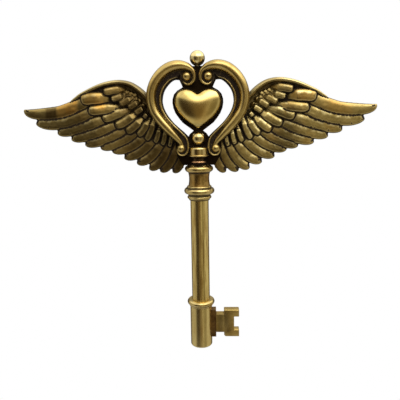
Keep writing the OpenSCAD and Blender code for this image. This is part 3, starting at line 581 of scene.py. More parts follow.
# the form of one feather, by shares of its length: where it is full, where and how each side closes
feather = {"along": 60, "across": 23, "crowd": 1.5, "fullAt": 0.4, "lowerEnd": (0.66, 2.4),
           "upperEnd": (0.86, 2.6), "bladeEnd": (0.82, 2.6), "bladeFrom": 0.55, "bladeLap": 0.45,
           "edgeShare": (0.5, 0.16), "domePower": 3.2, "highAt": 0.3, "endRise": (0.86, 2.4),
           "endShare": 0.35, "lumps": ((4.2, 0.12), (1.9, 0.06)), "tilt": 0.55, "rimAt": 1.25,
           "rimWidth": 0.5, "rim": 0.28, "rimFrom": 0.25, "warmAt": 0.42, "warmWidth": 0.16}


def wingLift(x):
    inner = (x - wing["liftFrom"]) / (wing["liftPeak"] - wing["liftFrom"])
    outer = (wing["liftTo"] - x) / (wing["liftTo"] - wing["liftPeak"])
    s = min(max(min(inner, outer), 0), 1)
    return wing["lift"] * s * s * (3 - 2 * s)


def wingDepth(x, d):
    return wing["back"] - wingLift(x) - d


def markAt(place, amber=0, dullAndShade=0, pale=0, inside=5, across=0, shine=0, longest=0):
    # what the finished skin takes over from the nearest drawn point
    return place.copy(), amber, dullAndShade, pale, inside, across, shine, longest


def addFeather(bm, marks, root, bend, tip, width, lap, low, crest, amber=0, dullAndShade=0, pointed=False,
               rootShare=0.7, corner=0):
    # domed, with a raised rim inside its lower edge; t runs from root to tip, s from the lower side up
    verts, faces = gridVerts(bm, feather["along"], feather["across"])
    root, bend, tip = (np.array(p, float) for p in (root, bend, tip))
    length = np.linalg.norm(tip - root)
    for v in verts:
        u, s = (v.co.x + 1) / 2, v.co.y
        t = 1 - (1 - u) ** feather["crowd"]
        p = root * (1 - t) ** 2 + bend * 2 * t * (1 - t) + tip * t * t
        run = (bend - root) * (1 - t) + (tip - bend) * t
        run = run / np.linalg.norm(run)
        grow = mixed(rootShare, 1, math.sin(min(t / feather["fullAt"], 1) * math.pi / 2))
        if s < 0:
            half = width * 0.5 * grow * closing(t, *feather["bladeEnd" if pointed else "lowerEnd"])
        elif pointed:
            half = (width * 0.5 + lap * max(1 - t / feather["bladeLap"], 0)) * grow
            half *= 1 - max((t - feather["bladeFrom"]) / (1 - feather["bladeFrom"]), 0) ** 2
        else:
            half = (width * 0.5 + lap) * grow * closing(t, *feather["upperEnd"])
        q = p + np.array((-run[1], run[0])) * s * half
        dome = mixed(feather["edgeShare"][s >= 0], 1, max(1 - abs(s) ** feather["domePower"], 0) ** 0.5)
        rise = (crest - low) * mixed(rootShare - 0.1, 1, min(t / feather["highAt"], 1))
        rise *= mixed(feather["endShare"], 1, closing(t, *feather["endRise"]))
        here = Vector((q[0], q[1], crest))
        lumps = sum(noise.noise(here / size) * high for size, high in feather["lumps"])
        # the end's upper corner is as dark as a groove: patina and painted shade
        fromEnd = (1 - t) * length * 0.9 - corner * min(max(s + 0.3, 0) / 0.5, 1)
        inside = max(min((1 - abs(s)) * half, fromEnd, 3), 0)
        if pointed:
            inside = max(inside, min((t - 0.9) * 30, 3))
        rim = math.exp(-((inside - feather["rimAt"]) / feather["rimWidth"]) ** 2) * (s < 0.1)
        rim *= min(t / feather["rimFrom"], 1) * feather["rim"]
        d = low + rise * dome - feather["tilt"] * s + rim + lumps * min(4 * (1 - abs(s)), 1)
        v.co = Vector((q[0], wingDepth(q[0], d), q[1]))
        warm = min(t / 0.2, 1) * min((1.05 - t) / 0.25, 1)
        if pointed:
            warm = math.exp(-((t - feather["warmAt"]) / feather["warmWidth"]) ** 2)
        marks.append(markAt(v.co, amber * warm, dullAndShade * mixed(1, 0.5, t), inside=inside, longest=pointed,
                            across=0 if pointed else s, shine=(1 - dullAndShade) * min(t / 0.3, 1)))
    closeBehind(bm, faces, lambda co: wingDepth(co.x, low))


def addFlights(bm, marks):
    rows = [wing["flight" + part] for part in ("Root", "Bend", "Tip")]
    count = len(wing["flightTip"])
    for i in range(count):
        w = wing["flightWidth"] * mixed(1, wing["flightTaper"], (i / (count - 1)) ** 0.4)
        root, bend, tip = (ofRow(row, i, count) for row in rows)
        dullAndShade = wing["flightDull"] + wing["innerDull"] * max(i - wing["innerFrom"], 0)
        first = i == 0
        addFeather(bm, marks, root, bend, tip, w, wing["lap"], 0, wing["flightCrest"],
                   first * wing["flightAmber"], dullAndShade, pointed=first, corner=(not first) * wing["corner"])


def addListed(bm, marks, feathers, low, crest, ambers, dullAndShade):
    # feathers given by root, middle and tip, which the bent line passes through
    for i, (*line, w) in enumerate(feathers):
        root, middle, tip = (np.array(real(p)) for p in line)
        bend = 2 * middle - (root + tip) / 2
        root = root - (tip - root) * wing["rootBack"]
        addFeather(bm, marks, root, bend, tip, w * keyPlace["drawShare"], wing["lap"] * 0.5, low, crest,
                   ambers.get(i, 0), dullAndShade, rootShare=wing["rootShare"])


def addScales(bm, marks):
    run = np.array(wing["scaleRun"], float)
    for first, last in wing["scales"]:
        for i in range(wing["scaleCount"]):
            root = mixed(np.array(first, float), np.array(last, float), i / (wing["scaleCount"] - 1))
            root, tip = np.array(real(root)), np.array(real(root + run))
            addFeather(bm, marks, root, (root + tip) / 2, tip, wing["scaleWidth"], wing["scaleLap"],
                       *wing["scaleRise"], dullAndShade=wing["scaleDull"])


def addMoulding(bm, line, depthOf, steps, across=13, power=0.8, marks=None):
    # a raised moulding along [x, z, width, height], closed behind
    last = len(line) - 1
    verts, faces = gridVerts(bm, steps * last, across)
    for v in verts:
        u = (v.co.x + 1) / 2 * last
        a = (v.co.y + 1) / 2 * math.pi
        here = onCurve(line, u)
        ahead = onCurve(line, min(u + 0.02, last)) - onCurve(line, max(u - 0.02, 0))
        run = ahead[:2] / np.linalg.norm(ahead[:2])
        q = here[:2] + np.array((-run[1], run[0])) * here[2] / 2 * math.cos(a)
        v.co = Vector((q[0], depthOf(q[0], here[3] * math.sin(a) ** power), q[1]))
        if marks is not None:
            fade = min((1 - u / last) * 3, 1)
            # the roll's lower side is painted dark as shade, its upper side pale as a painted highlight
            marks.append(markAt(v.co, dullAndShade=max(-math.cos(a) - 0.5, 0) * fade,
                                pale=max(math.cos(a) * 1.3, 0) ** 0.7))
    closeBehind(bm, faces, lambda co: depthOf(co.x, 0))


def addSheet(bm, lower, upper, thick, depthOf, across):
    # an even sheet between two lines
    verts, faces = gridVerts(bm, 60, across)
    for v in verts:
        u, s = (v.co.x + 1) / 2, (v.co.y + 1) / 2
        q = mixed(onCurve(lower, u * (len(lower) - 1)), onCurve(upper, u * (len(upper) - 1)), s)
        v.co = Vector((q[0], depthOf(q[0], thick), q[1]))
    closeBehind(bm, faces, lambda co: depthOf(co.x, 0))
    return verts


def plateOutline(inset):
    # right half of the backing plate's outline, moved in by inset
    middle = np.array(plate["middle"], float)
    steps = [onCurve(scrollEdge, i / 4) for i in range(4 * (len(scrollEdge) - 1) + 1)]
    foot = [np.array(p, float) for p in plate["foot"]]
    outline = []
    for line, drop in ((steps, plate["overhang"] + inset), (foot, inset)):
        outline += [tuple(p - (p - middle) / np.linalg.norm(p - middle) * drop) for p in line]
    return [(-30, plate["crownSeat"])] + outline + [(-30, -2)]


def cutterFrom(name, outline, y0, y1):
    bm = bmesh.new()
    verts = [bm.verts.new((x, y0, z)) for x, z in outline]
    bmesh.ops.translate(bm, verts=grownVerts(bm, [bm.faces.new(verts)]), vec=(0, y1 - y0, 0))
    return pieceFrom(name, bm)


def addRound(bm, x, z, radius, y0, y1):
    # a cylinder from front to back
    bmesh.ops.create_cone(bm, cap_ends=True, segments=48, radius1=radius, radius2=radius, depth=y1 - y0,
                          matrix=Matrix.Translation((x, (y0 + y1) / 2, z))
                          @ Matrix.Rotation(math.pi / 2, 4, "X"))


def padCutter(x, z):
    bm = bmesh.new()
    addRound(bm, x, z, wing["padRadius"], 0, 30)
    return pieceFrom("padCut", bm)


def backCut():
    # takes away what a front casting has behind the plate's face
    return cutterFrom("backCut", [(-80, 0), (-80, 130), (80, 130), (80, 0)], plate["front"], 20)


def makeWing():
    bm = bmesh.new()
    marks = []
    addFlights(bm, marks)
    addListed(bm, marks, wing["coverts"], *wing["covertRise"], wing["covertAmber"], wing["covertDull"])
    addListed(bm, marks, wing["smalls"], *wing["smallRise"], wing["smallAmber"], wing["smallDull"])
    addScales(bm, marks)
    # backing sheet behind the feathers, painted darker as shade
    for v in addSheet(bm, wing["backingEnd"], wing["backingTop"], wing["backing"], wingDepth, 12):
        marks.append(markAt(v.co, dullAndShade=0.6))
    # roll along the leading edge
    count = len(wing["edge"])
    line = [(x, z, mixed(*wing["rollWidth"], (j / (count - 1)) ** 2),
             mixed(*wing["rollHigh"], (j / (count - 1)) ** 2.6)) for j, (x, z) in enumerate(wing["edge"])]
    addMoulding(bm, line, wingDepth, steps=14, power=0.75, marks=marks)
    piece = pieceFrom("rightWing", bm)
    cutters = [cutterFrom("plateCut", plateOutline(-wing["gap"]), -20, plate["back"] + 0.02),
               cutterFrom("innerCut", plateOutline(wing["tuck"]), -20, 30)]
    cutters += [padCutter(x, z) for x, z in wing["pads"]]
    remeshed(piece, wing["voxel"], 2, cutters)
    tree = kdtree.KDTree(len(marks))
    for i, mark in enumerate(marks):
        tree.insert(mark[0], i)
    tree.balance()
    mesh = piece.data
    felt = np.array([marks[tree.find(v.co)[1]][1:] for v in mesh.vertices])
    amber, dullAndShade, pale, inside, across, shine, longest = felt.T
    # where one feather ends on another there is a groove
    ends = edgeEnds(mesh)
    jumps = ends[:, np.abs(inside[ends[0]] - inside[ends[1]]) > wing["jump"]]
    inside[jumps] = 0
    for _ in range(4):
        for a, b in (ends, ends[::-1]):
            np.minimum.at(inside, a, inside[b] + wing["voxel"])
    # browner and with paler grooves among the scales
    co = coordinates(mesh)
    soft = (within(co[:, 0], wing["brownX"], wing["brownSoft"])
            * within(co[:, 2], wing["brownZ"], wing["brownSoft"]))
    inside = inside + wing["brownEdge"] * soft
    fine, broad = feelRelief(mesh)
    # pale crests: wear, and the roll's painted highlight
    crest = unit(0.3 * unit(broad / wing["rubbed"]) + pale) * (1 - wing["brownShade"] * soft)
    recess = hollows(fine, broad, wing["hollow"]) * (1 - wing["brownShade"] * soft)
    dullAndShade = np.maximum(dullAndShade, wing["brownShade"] * soft)
    # the plain back, one even tone
    behind = co[:, 1] > np.array([wingDepth(x, wing["behindFrom"]) for x in co[:, 0]])
    behind &= coordinates(mesh, "normal")[:, 1] > 0.6
    inside[behind], dullAndShade[behind] = 3, wing["behindShade"]
    amber[behind], shine[behind], recess[behind] = 0, 0, 0
    storeValues(mesh, crest=crest, recess=recess, amber=amber, shade=dullAndShade, edge=inside, across=across,
                shine=shine, long=longest, behind=behind)
    return piece


def markLeftWing(mesh):
    # the left wing is painted darker as shade and its pale marks are weaker,
    # with a warm and a dark band across its longest feather
    co = coordinates(mesh)
    x, z, longest = -co[:, 0], co[:, 2], readValues(mesh, "long")
    front = readValues(mesh, "shine") > 0
    longest = longest * front
    warm = longest * within(x, wing["leftWarm"], 3)
    glow = within(x, wing["leftGlow"][0], 4) * within(z, wing["leftGlow"][1], 4) * front
    dark = longest * within(x, wing["leftDark"], 5)
    amber = np.maximum(readValues(mesh, "amber") * (1 - longest), np.maximum(warm, glow))
    outward = unit((x - wing["leftRun"][0]) / (wing["leftRun"][1] - wing["leftRun"][0]))
    shade = unit(readValues(mesh, "shade") + mixed(*wing["leftShade"], outward) + dark) * (1 - amber)
    storeValues(mesh, amber=amber, shade=shade, crest=readValues(mesh, "crest") * wing["leftCrest"],
                shine=readValues(mesh, "shine") * mixed(*wing["leftShine"], outward))


rightWing = makeWing()
leftWing = mirroredCopy(rightWing, "leftWing")
markLeftWing(leftWing.data)
finishPiece(rightWing, wingBrass, "right_wing")
finishPiece(leftWing, wingBrass, "left_wing")
print("wings made:", len(rightWing.data.polygons), "faces")

# the right scroll: rows of x, z, width and height along its roll and its bead
scroll = {"roll": [(16, 91, 1.6, 2.4), (12.5, 86.9, 2.6, 3.6), (8.2, 86.8, 3.4, 4.4), (4.2, 90.3, 4, 4.8),
                   (3.2, 95.5, 4.5, 5.4), (5.3, 101.2, 5.6, 6.2), (11.2, 105.2, 8.6, 7.6),
                   (20, 106.6, 11.4, 8.8), (29.7, 104.4, 12.2, 8.8), (38.4, 98.5, 12, 8.8),
                   (45.2, 89.8, 11.5, 8.8), (49.1, 79.5, 11.1, 8.8), (49.5, 69.3, 10.9, 8.8),
                   (46.5, 58.4, 10.9, 8.8), (40.2, 48.9, 10.8, 8.8), (32.3, 39.8, 10.3, 8.4),
                   (25.1, 31.9, 8.2, 7.5), (19.2, 25, 5.8, 5.6), (16.2, 19.5, 3.4, 4)],
          "bead": [(21, 94.4, 1.4, 2.8), (29.6, 91.2, 2, 3.2), (36.3, 83.7, 2.6, 3.6),
                   (39.9, 74.1, 3.1, 3.9), (38.9, 62.7, 3.3, 4.1), (34.3, 52.7, 3.3, 4.3),
                   (27.3, 44.1, 3.2, 4.4), (19.8, 36.9, 3.1, 4.5), (13.4, 30, 2.5, 4.6),
                   (10.9, 22.6, 2.8, 4.7), (11.4, 15.6, 2.8, 4.7), (14.8, 11.4, 2.7, 4.6),
                   (19.7, 11.4, 2.5, 4.4), (22.6, 15, 2.1, 4.1), (22.4, 19.5, 1.4, 3)], "strip": 1.6,
          "sunk": 0.4, "voxel": 0.42, "hollow": 0.8, "rubbed": 1.4, "crestMost": 0.8,
          "darkUnder": 2.7, "darkSoft": 0.7,
          # ball's place and radius, base's radius and place
          "eyes": [(real((11.6, 95)), 4.6, 7.7, real((10.3, 93.5))),
                   (real((18.4, 18)), 4.2, 6.1, real((17, 16.5)))]}
for part in ("roll", "bead"):
    scroll[part] = [(*real(p[:3]), p[3]) for p in scroll[part]]


def makeScroll():
    bm = bmesh.new()
    front = plate["front"]
    behind = front + scroll["sunk"]

    def depthOf(x, d):
        return behind - d

    addMoulding(bm, scroll["roll"], depthOf, steps=10, across=17)
    addMoulding(bm, scroll["bead"], depthOf, steps=10, across=9)
    # flat strip between the roll and the bead
    addSheet(bm, scroll["bead"][:11], scroll["roll"][6:], scroll["strip"] + scroll["sunk"], depthOf, 6)
    for (x, z), ball, base, (bx, bz) in scroll["eyes"]:
        bmesh.ops.create_uvsphere(bm, u_segments=32, v_segments=20, radius=ball,
                                  matrix=Matrix.Translation((x, front - scroll["strip"], z)))
        addRound(bm, bx, bz, base, front - scroll["strip"], behind)
    piece = pieceFrom("rightScroll", bm)
    remeshed(piece, scroll["voxel"], 2, [backCut()])
    high = front - coordinates(piece.data)[:, 1]
    fine, broad = feelRelief(piece.data)
    hollow = hollows(fine, broad, scroll["hollow"])
    # what stands low by the plate, under the roll and the bead, is darkened: patina and painted shade
    low = unit((scroll["darkUnder"] - high) / scroll["darkSoft"])
    crest = np.minimum(unit(broad / scroll["rubbed"]), scroll["crestMost"])
    storeValues(piece.data, crest=crest, recess=unit(hollow + low))
    return piece


rightScroll = makeScroll()
leftScroll = mirroredCopy(rightScroll, "leftScroll")
finishPiece(rightScroll, scrollBrass, "right_scroll")
finishPiece(leftScroll, scrollBrass, "left_scroll")
print("scrolls made:", len(rightScroll.data.polygons), "faces")

# the heart: the right half of its outline, and how high it stands
heart = {"half": reals([(0, 39), (6.2, 43), (13, 48), (19.4, 54.6), (23.6, 61.6), (25, 68), (23.9, 74.4),
                        (20.4, 79), (15.4, 81.2), (10, 81.1), (5, 79.5), (1.6, 77.4), (0, 76.2)]),
         "middle": real((0, 62)), "edge": 2.2, "dome": 8.5, "rings": 26, "cell": 0.8, "rounds": 1500,
         "voxel": 0.45, "rimDeep": 1.6, "rimDark": 0.8, "amberAt": (4, 52), "amberSize": (6, 7),
         "amberShare": 0.6, "rubbed": 2.5}


def blownUp(outline, cell, rounds):
    # height of a skin blown up over an outline, from 0 at its edge to 1 at the top, for any place
    low = outline.min(0) - cell
    across, up = (np.arange(low[i], outline[:, i].max() + 2 * cell, cell) for i in range(2))
    x, z = np.meshgrid(across, up, indexing="ij")
    inside = np.zeros(x.shape, bool)
    for (x0, z0), (x1, z1) in zip(outline, np.roll(outline, -1, 0)):
        crossed = (z >= min(z0, z1)) & (z < max(z0, z1))
        inside ^= crossed & (x < x0 + (z - z0) * (x1 - x0) / (z1 - z0 or 1))
    skin = np.zeros(x.shape)
    for _ in range(rounds):
        skin[1:-1, 1:-1] = (skin[:-2, 1:-1] + skin[2:, 1:-1] + skin[1:-1, :-2] + skin[1:-1, 2:] + 1) / 4
        skin *= inside
    skin = np.sqrt(skin / skin.max())

    def heightAt(px, pz):
        i, j = (px - low[0]) / cell, (pz - low[1]) / cell
        a, b = int(i), int(j)
        front = mixed(skin[a, b], skin[a + 1, b], i - a)
        behind = mixed(skin[a, b + 1], skin[a + 1, b + 1], i - a)
        return mixed(front, behind, j - b)

    return heightAt


def makeHeart():
    bm = bmesh.new()
    half = [onCurve(heart["half"], i / 5) for i in range(5 * (len(heart["half"]) - 1) + 1)]
    outline = half + [np.array((-p[0], p[1])) for p in half[-2:0:-1]]
    front = plate["front"]
    middle = np.array(heart["middle"], float)
    edges = list(bm.faces.new([bm.verts.new((p[0], front, p[1])) for p in outline]).edges)
    depths = [(1, heart["edge"] * 0.5), (1, heart["edge"])]
    for i in range(1, heart["rings"]):
        depths.append((math.cos(i / heart["rings"] * math.pi / 2), heart["edge"] + heart["dome"]))
    before = 1
    for share, depth in depths:
        grown = bmesh.ops.extrude_edge_only(bm, edges=edges)["geom"]
        edges = only(bmesh.types.BMEdge, grown)
        for v in only(bmesh.types.BMVert, grown):
            v.co.x = middle[0] + (v.co.x - middle[0]) * share / before
            v.co.z = middle[1] + (v.co.z - middle[1]) * share / before
            v.co.y = front - depth
        before = share
    bmesh.ops.edgeloop_fill(bm, edges=edges)
    bmesh.ops.triangulate(bm, faces=[f for f in bm.faces if len(f.verts) > 4])
    heightAt = blownUp(np.array(outline), heart["cell"], heart["rounds"])
    for v in bm.verts:
        if front - v.co.y > heart["edge"] + 0.001:
            v.co.y = front - heart["edge"] - heart["dome"] * heightAt(v.co.x, v.co.z)
    piece = pieceFrom("heartDome", bm)
    remeshed(piece, heart["voxel"], 4, [backCut()])
    x, y, z = coordinates(piece.data).T
    # the heart's low rim by the plate is darkened: patina and painted shade
    rim = (front - y - heart["edge"]) / heart["rimDeep"]
    (ax, az), (wide, high) = heart["amberAt"], heart["amberSize"]
    warm = np.exp(-((x - ax) / wide) ** 2 - ((z - az) / high) ** 2)
    storeValues(piece.data, crest=unit(feelRelief(piece.data)[1] / heart["rubbed"]),
                recess=heart["rimDark"] * unit(1 - rim), amber=warm * heart["amberShare"])
    return piece


heartDome = makeHeart()
finishPiece(heartDome, heartBrass, "heart")
print("heart made:", len(heartDome.data.polygons), "faces")

# heights of the turned stack, from the flange's top down, and its radii
stack = {"flange": -7.5, "waist": -21.5, "collar": -30.7, "seat": -36.5, "tube": -145.5, "lower": -152.9,
         "sleeve": -198.4, "tubeRadius": 9.525, "sleeveRadius": 11.75, "boreRadius": 7.75, "web": 6.0,
         "rod": 3.3, "waistRadius": 10.4, "waistEnd": 11.3, "seatDepth": 2.5, "crownRadius": 7.5,
         "crownAt": 105, "lowerRadius": 6.9, "lowerAt": 27, "steps": 160}


def arc(r, z, radius, start, end, count=14):
    angles = [math.radians(mixed(start, end, i / count)) for i in range(count + 1)]
    return [(r + radius * math.cos(a), z + radius * math.sin(a)) for a in angles]


def spun(name, outline, ring=False):
    bm = bmesh.new()
    verts = [bm.verts.new((r, 0, z)) for r, z in outline]
    pairs = list(zip(verts, verts[1:])) + ([(verts[-1], verts[0])] if ring else [])
    edges = [bm.edges.new(pair) for pair in pairs]
    bmesh.ops.spin(bm, geom=verts + edges, cent=(0, 0, 0), axis=(0, 0, 1), angle=2 * math.pi,
                   steps=stack["steps"], use_merge=True)
    bmesh.ops.remove_doubles(bm, verts=bm.verts, dist=0.001)
    return pieceFrom(name, bm)


def halve(piece):
    # moved to the plate's face, with the half behind it cut away
    bm = openMesh(piece)
    bmesh.ops.translate(bm, verts=bm.verts, vec=(0, plate["front"], 0))
    cut = bmesh.ops.bisect_plane(bm, geom=bm.verts[:] + bm.edges[:] + bm.faces[:], dist=0.0001,
                                 plane_co=(0, plate["front"], 0), plane_no=(0, 1, 0), clear_outer=True)
    bmesh.ops.edgeloop_fill(bm, edges=only(bmesh.types.BMEdge, cut["geom_cut"]))
    bmesh.ops.recalc_face_normals(bm, faces=bm.faces)
    closeMesh(piece, bm)


def turnedOutlines():
    # half sections of radius and height, from the lowest point up
    flange, waist, collar, seat, tube, lower, sleeve, sunk, rod, shank, bore, wall = (
        stack[key] for key in ("flange", "waist", "collar", "seat", "tube", "lower", "sleeve", "seatDepth",
                               "rod", "tubeRadius", "boreRadius", "sleeveRadius"))
    crown, web = plate["crownSeat"], lower - stack["web"]
    spool = [(mixed(stack["waistRadius"], stack["waistEnd"], (2 * i / 24 - 1) ** 2),
              mixed(waist, flange, i / 24)) for i in range(25)]
    return {
        "crownBall": [(0, crown), (3.3, crown), (2.9, crown + 0.5)]
        + arc(0, stack["crownAt"], stack["crownRadius"], -68, 90, 40),
        "lowerBall": arc(0, stack["lowerAt"], stack["lowerRadius"], -90, 90, 48),
        "plinthBand": [(0, 9.0), (9.6, 9.0)] + arc(9.6, 9.8, 0.8, -90, 90) + [(9.1, 10.8), (9.1, 16.0)]
        + arc(6.7, 16.0, 2.4, 0, 90) + [(0, 18.4)],
        "neckHalf": [(0, 0), (8.7, 0), (8.7, 1.2), (6.5, 1.5), (6.2, 1.9), (6.2, 2.1)]
        + arc(6.2, 3.3, 1.2, -90, 90)
        + [(6.2, 4.6), (6.2, 7.2), (6.5, 7.5), (8.0, 7.6), (8.0, 9.0), (0, 9.0)],
        "flangeDisc": [(0, flange), (11.8, flange), (12.2, -7.2)] + arc(11.4, -4.0, 3.2, -72, 74)
        + [(12.0, -0.5), (11.5, 0), (0, 0)],
        "waistSpool": [(0, waist)] + spool + [(0, flange)],
        "collarBead": [(0, collar), (11.4, collar), (11.6, -30.3)] + arc(12.48, -26.8, 3.2, -100, 100, 24)
        + arc(11.6, -22.7, 1.2, -60, 90) + [(0, waist)],
        "seatRing": [(0, seat), (10.6, seat), (10.8, -36.2), (10.8, -35.1)]
        + arc(10.9, -33.5, 1.6, -80, 80)
        + [(11.2, -31.8), (11.6, -31.5), (11.6, -30.9), (11.4, collar), (0, collar)],
        "shankTube": [(0, tube - sunk), (shank, tube - sunk), (shank, seat + sunk), (0, seat + sunk)],
        "lowerCollar": [(0, lower), (11.5, lower)] + arc(11.5, -151.8, 1.1, -90, 60) + [(12.0, -150.95)]
        + arc(11.85, -148.25, 2.75, -84, 90, 24) + [(0, tube)],
        "bitSleeve": [(bore, sleeve)] + arc(wall - 2, sleeve + 2, 2, -90, 0)
        + [(wall, lower - 0.3), (wall - 0.3, lower), (rod, lower), (rod, web), (bore, web)]}


def makeTurned(name, node, material, grooves=(), half=False, bright=None):
    piece = spun(name, turnedOutlines()[name], name == "bitSleeve")
    if half:
        halve(piece)
    heights = coordinates(piece.data)[:, 2]
    # a groove is a height and its width, darkened as patina and painted shade where pieces meet;
    # so is a ring painted bright as a highlight
    dark = sum((np.exp(-((heights - z) / width) ** 2) for z, width in grooves), np.zeros(len(heights)))
    storeValues(piece.data, recess=unit(dark))
    if bright:
        storeValues(piece.data, crest=unit(1.3 - np.abs(heights - bright[0]) / bright[1]))
    finishPiece(piece, material, node, sharpAngle=38)


def makeStack():
    flange, collar, seat = stack["flange"], stack["collar"], stack["seat"]
    makeTurned("crownBall", "crown_ball", ballBrass, [(plate["crownSeat"], 0.5)])
    makeTurned("lowerBall", "lower_ball", turnedBrass, half=True)
    makeTurned("plinthBand", "plinth", turnedBrass, half=True)
    makeTurned("neckHalf", "neck_cove", neckBrass, half=True, bright=(3.5, 0.9))
    makeTurned("flangeDisc", "upper_flange", turnedBrass, [(flange, 0.9)])
    makeTurned("waistSpool", "waist", waistBrass, [(flange, 1.2)])
    makeTurned("collarBead", "collar_bead", turnedBrass, [(collar, 1.1), (-23.9, 0.4)])
    makeTurned("seatRing", "seat_ring", turnedBrass, [(collar, 0.7), (seat, 0.9)])
    makeTurned("shankTube", "shank_tube", shankBrass)
    makeTurned("lowerCollar", "lower_collar", turnedBrass, [(-150.95, 0.3)])
    makeTurned("bitSleeve", "bit_sleeve", sleeveBrass)


makeStack()

bit = {"left": 16.0, "neckEnd": 24.75, "reach": 41.0, "top": -157.3, "bottom": -187.8, "neckHigh": 20.2,
       "wardHigh": 15.2, "wardDeep": 5.4, "thick": 9.0, "corner": 1.4, "edge": 0.55}


def makeBit():
    left, neckEnd, reach, top, bottom, corner = (
        bit[key] for key in ("left", "neckEnd", "reach", "top", "bottom", "corner"))
    middle = (top + bottom) / 2
    neck, ward, slot = bit["neckHigh"] / 2, bit["wardHigh"] / 2, reach - bit["wardDeep"]
    outline = [(left, middle - neck), (left, middle + neck), (neckEnd, middle + neck), (neckEnd, top),
               (reach, top), (reach, middle + ward), (slot, middle + ward), (slot, middle - ward),
               (reach, middle - ward), (reach, bottom), (neckEnd + corner, bottom),
               (neckEnd, bottom + corner), (neckEnd, middle - neck)]
    piece = cutterFrom("bitFlag", outline, -bit["thick"] / 2, bit["thick"] / 2)
    bm = openMesh(piece)
    edges = [e for e in bm.edges if min(v.co.x for v in e.verts) > left + 0.1]
    bmesh.ops.bevel(bm, geom=edges, offset=bit["edge"], affect="EDGES", segments=3, profile=0.5,
                    material=-1)
    closeMesh(piece, bm)
    finishPiece(piece, bitBrass, "bit", sharpAngle=50)


makeBit()
print("turned pieces and bit made")

# finishes of the nodes that keep their solids
finishes = {
    "dark_brass": paintedShadeBrass, "turned_brass": turnedBrass, "shank_brass": shankBrass, "bit_brass": bitBrass,
    "back_brass": backBrass, "screw_brass": screwBrass, "ring_brass": screwBrass, "rod_steel": rodSteel,
    "bumper_rubber": bumperRubber}
slotOf = {s["node"]: s["material_slot"] for s in frame["record"]["subparts"]}
for name, node in frame["nodes"].items():
    finish = shadedRootBrass if name == "bit_root" else finishes.get(slotOf[name])
    if finish is not None:
        node.data.materials.clear()
        node.data.materials.append(finish)
print("finishes placed")

# floor, light and camera; the room is what the metal reflects, by the angle round the key
studio = {"floorDrop": 0.25, "floorSize": 0.5, "cameraDistance": 0.47, "cameraPitch": 10.5,
          "cameraYaw": 1.9, "cameraRoll": -0.9, "aim": (0.0005, -0.007, -0.1327), "lens": 40.6,
          "sensor": 36, "softboxPower": 2.0, "softboxPlace": (0.25, -0.45, 0.55),
          "softboxAim": (0, 0, -0.12), "softboxSize": (0.9, 0.5), "groundFrom": (-0.5, -0.72),
          "ceilingFrom": (0.30, 0.46), "ceilingDepth": (0.9, 0.5), "ceilingSide": (-0.5, 0.1),
          "ceiling": (1.9, 1.82, 1.56), "ceilingLeft": 0.55, "ground": (0.62, 0.58, 0.46),
          "fillPower": 0.5, "fill": (0.8, 0.8, 0.8), "backdrop": (1, 1, 1),
          "floorTones": ((0.86, 0.86, 0.86), (0.9, 0.9, 0.9)), "floorRough": 0.8, "floorGlow": 0.8,
          "room": [(-180, (0.45, 0.42, 0.34)), (-162, (0.40, 0.37, 0.30)), (-150, (0.07, 0.06, 0.05)),
                   (-135, (0.06, 0.05, 0.04)), (-118, (0.52, 0.49, 0.40)), (-62, (0.50, 0.47, 0.38)),
                   (-46, (0.05, 0.035, 0.02)), (-20, (0.05, 0.035, 0.02)), (-4, (0.22, 0.17, 0.09)),
                   (12, (0.24, 0.19, 0.10)), (20, (0.62, 0.57, 0.42)), (28, (0.30, 0.26, 0.15)),
                   (50, (0.26, 0.22, 0.13)), (60, (0.40, 0.36, 0.24)), (66, (0.66, 0.62, 0.49)),
                   (74, (0.50, 0.46, 0.35)), (110, (0.58, 0.53, 0.41)), (120, (0.44, 0.40, 0.30)),
                   (134, (0.08, 0.07, 0.05)), (150, (0.07, 0.06, 0.05)), (162, (0.40, 0.37, 0.30)),
                   (180, (0.45, 0.42, 0.34))]}


def makeFloor():
    bm = bmesh.new()
    bmesh.ops.create_grid(bm, x_segments=1, y_segments=1, size=studio["floorSize"] / 2,
                          matrix=Matrix.Translation((0, 0, cadBox[0].z - studio["floorDrop"])))
    floor = pieceFrom("studioFloor", bm)
    material, tree, shader = newMaterial("paleFloor")
    link(tree, mixColour(tree, noiseNode(tree, objectPlace(tree), 3), *studio["floorTones"]),
         shader.inputs["Base Color"])
    shader.inputs["Roughness"].default_value = studio["floorRough"]
    glow = tree.nodes.new("ShaderNodeEmission").outputs[0]
    seen = times(tree, tree.nodes.new("ShaderNodeLightPath").outputs["Is Camera Ray"], studio["floorGlow"])
    link(tree, mixShader(tree, seen, shader.outputs[0], glow), tree.nodes["Material Output"].inputs[0])
    floor.data.materials.append(material)


def backgroundNode(tree, colour, power=1.0):
    node = tree.nodes.new("ShaderNodeBackground")
    return feed(tree, node, {"Color": colour, "Strength": power}).outputs[0]


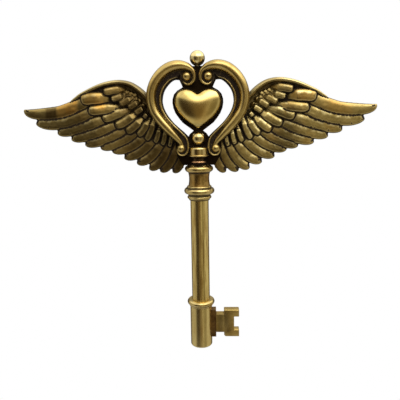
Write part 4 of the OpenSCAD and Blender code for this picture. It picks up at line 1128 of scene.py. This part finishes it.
def makeWorld():
    world = bpy.data.worlds.new("studio")
    bpy.context.scene.world = world
    world.use_nodes = True
    tree = world.node_tree
    tree.nodes.clear()
    split = tree.nodes.new("ShaderNodeSeparateXYZ")
    link(tree, tree.nodes.new("ShaderNodeTexCoord").outputs["Generated"], split.inputs[0])
    x, y, z = split.outputs
    # 0 degrees is in front of the key, 90 on its right
    angle = mathNode(tree, "ARCTAN2", x, times(tree, y, -1))
    ramp = tree.nodes.new("ShaderNodeValToRGB")
    stops = ramp.color_ramp.elements
    for i, (degrees, colour) in enumerate(studio["room"]):
        position = (degrees + 180) / 360
        stop = stops[i] if i < 2 else stops.new(position)
        stop.position = position
        stop.color = (*colour, 1)
    link(tree, plus(tree, times(tree, angle, 0.5 / math.pi), 0.5), ramp.inputs[0])
    room = mixColour(tree, rangeNode(tree, z, *studio["groundFrom"]), ramp.outputs[0], studio["ground"])
    # the ceiling's light ends over the key and is weaker on the left
    above = rangeNode(tree, z, *studio["ceilingFrom"])
    above = times(tree, above, rangeNode(tree, y, *studio["ceilingDepth"]))
    above = times(tree, above, rangeNode(tree, x, *studio["ceilingSide"], studio["ceilingLeft"], 1))
    room = mixColour(tree, above, room, studio["ceiling"])
    rays = tree.nodes.new("ShaderNodeLightPath").outputs
    mirrored = highest(tree, rays["Is Glossy Ray"], rays["Is Transmission Ray"])
    fill = backgroundNode(tree, studio["fill"], studio["fillPower"])
    lit = mixShader(tree, mirrored, fill, backgroundNode(tree, room))
    shown = mixShader(tree, rays["Is Camera Ray"], lit, backgroundNode(tree, studio["backdrop"]))
    link(tree, shown, tree.nodes.new("ShaderNodeOutputWorld").inputs[0])


def makeSoftbox():
    lamp = bpy.data.lights.new("softbox", "AREA")
    lamp.shape = "RECTANGLE"
    lamp.size, lamp.size_y = studio["softboxSize"]
    lamp.energy = studio["softboxPower"]
    holder = objectFrom("softbox", lamp)
    holder.location = studio["softboxPlace"]
    aim = Vector(studio["softboxAim"]) - holder.location
    holder.rotation_euler = aim.to_track_quat("-Z", "Y").to_euler()


def makeCamera():
    data = bpy.data.cameras.new("camera")
    data.sensor_width = studio["sensor"]
    data.lens = studio["lens"]
    camera = objectFrom("camera", data)
    yaw, pitch = math.radians(studio["cameraYaw"]), math.radians(studio["cameraPitch"])
    aim = Vector(studio["aim"])
    away = Vector((math.sin(yaw) * math.cos(pitch), -math.cos(yaw) * math.cos(pitch), math.sin(pitch)))
    away *= studio["cameraDistance"]
    camera.location = aim + away
    look = (-away).to_track_quat("-Z", "Y").to_matrix()
    roll = Matrix.Rotation(math.radians(studio["cameraRoll"]), 3, "Z")
    camera.rotation_euler = (look @ roll).to_euler()
    bpy.context.scene.camera = camera


makeFloor()
makeWorld()
makeSoftbox()
makeCamera()

scene = bpy.context.scene
scene.view_settings.view_transform = "Standard"
print("scene ready")
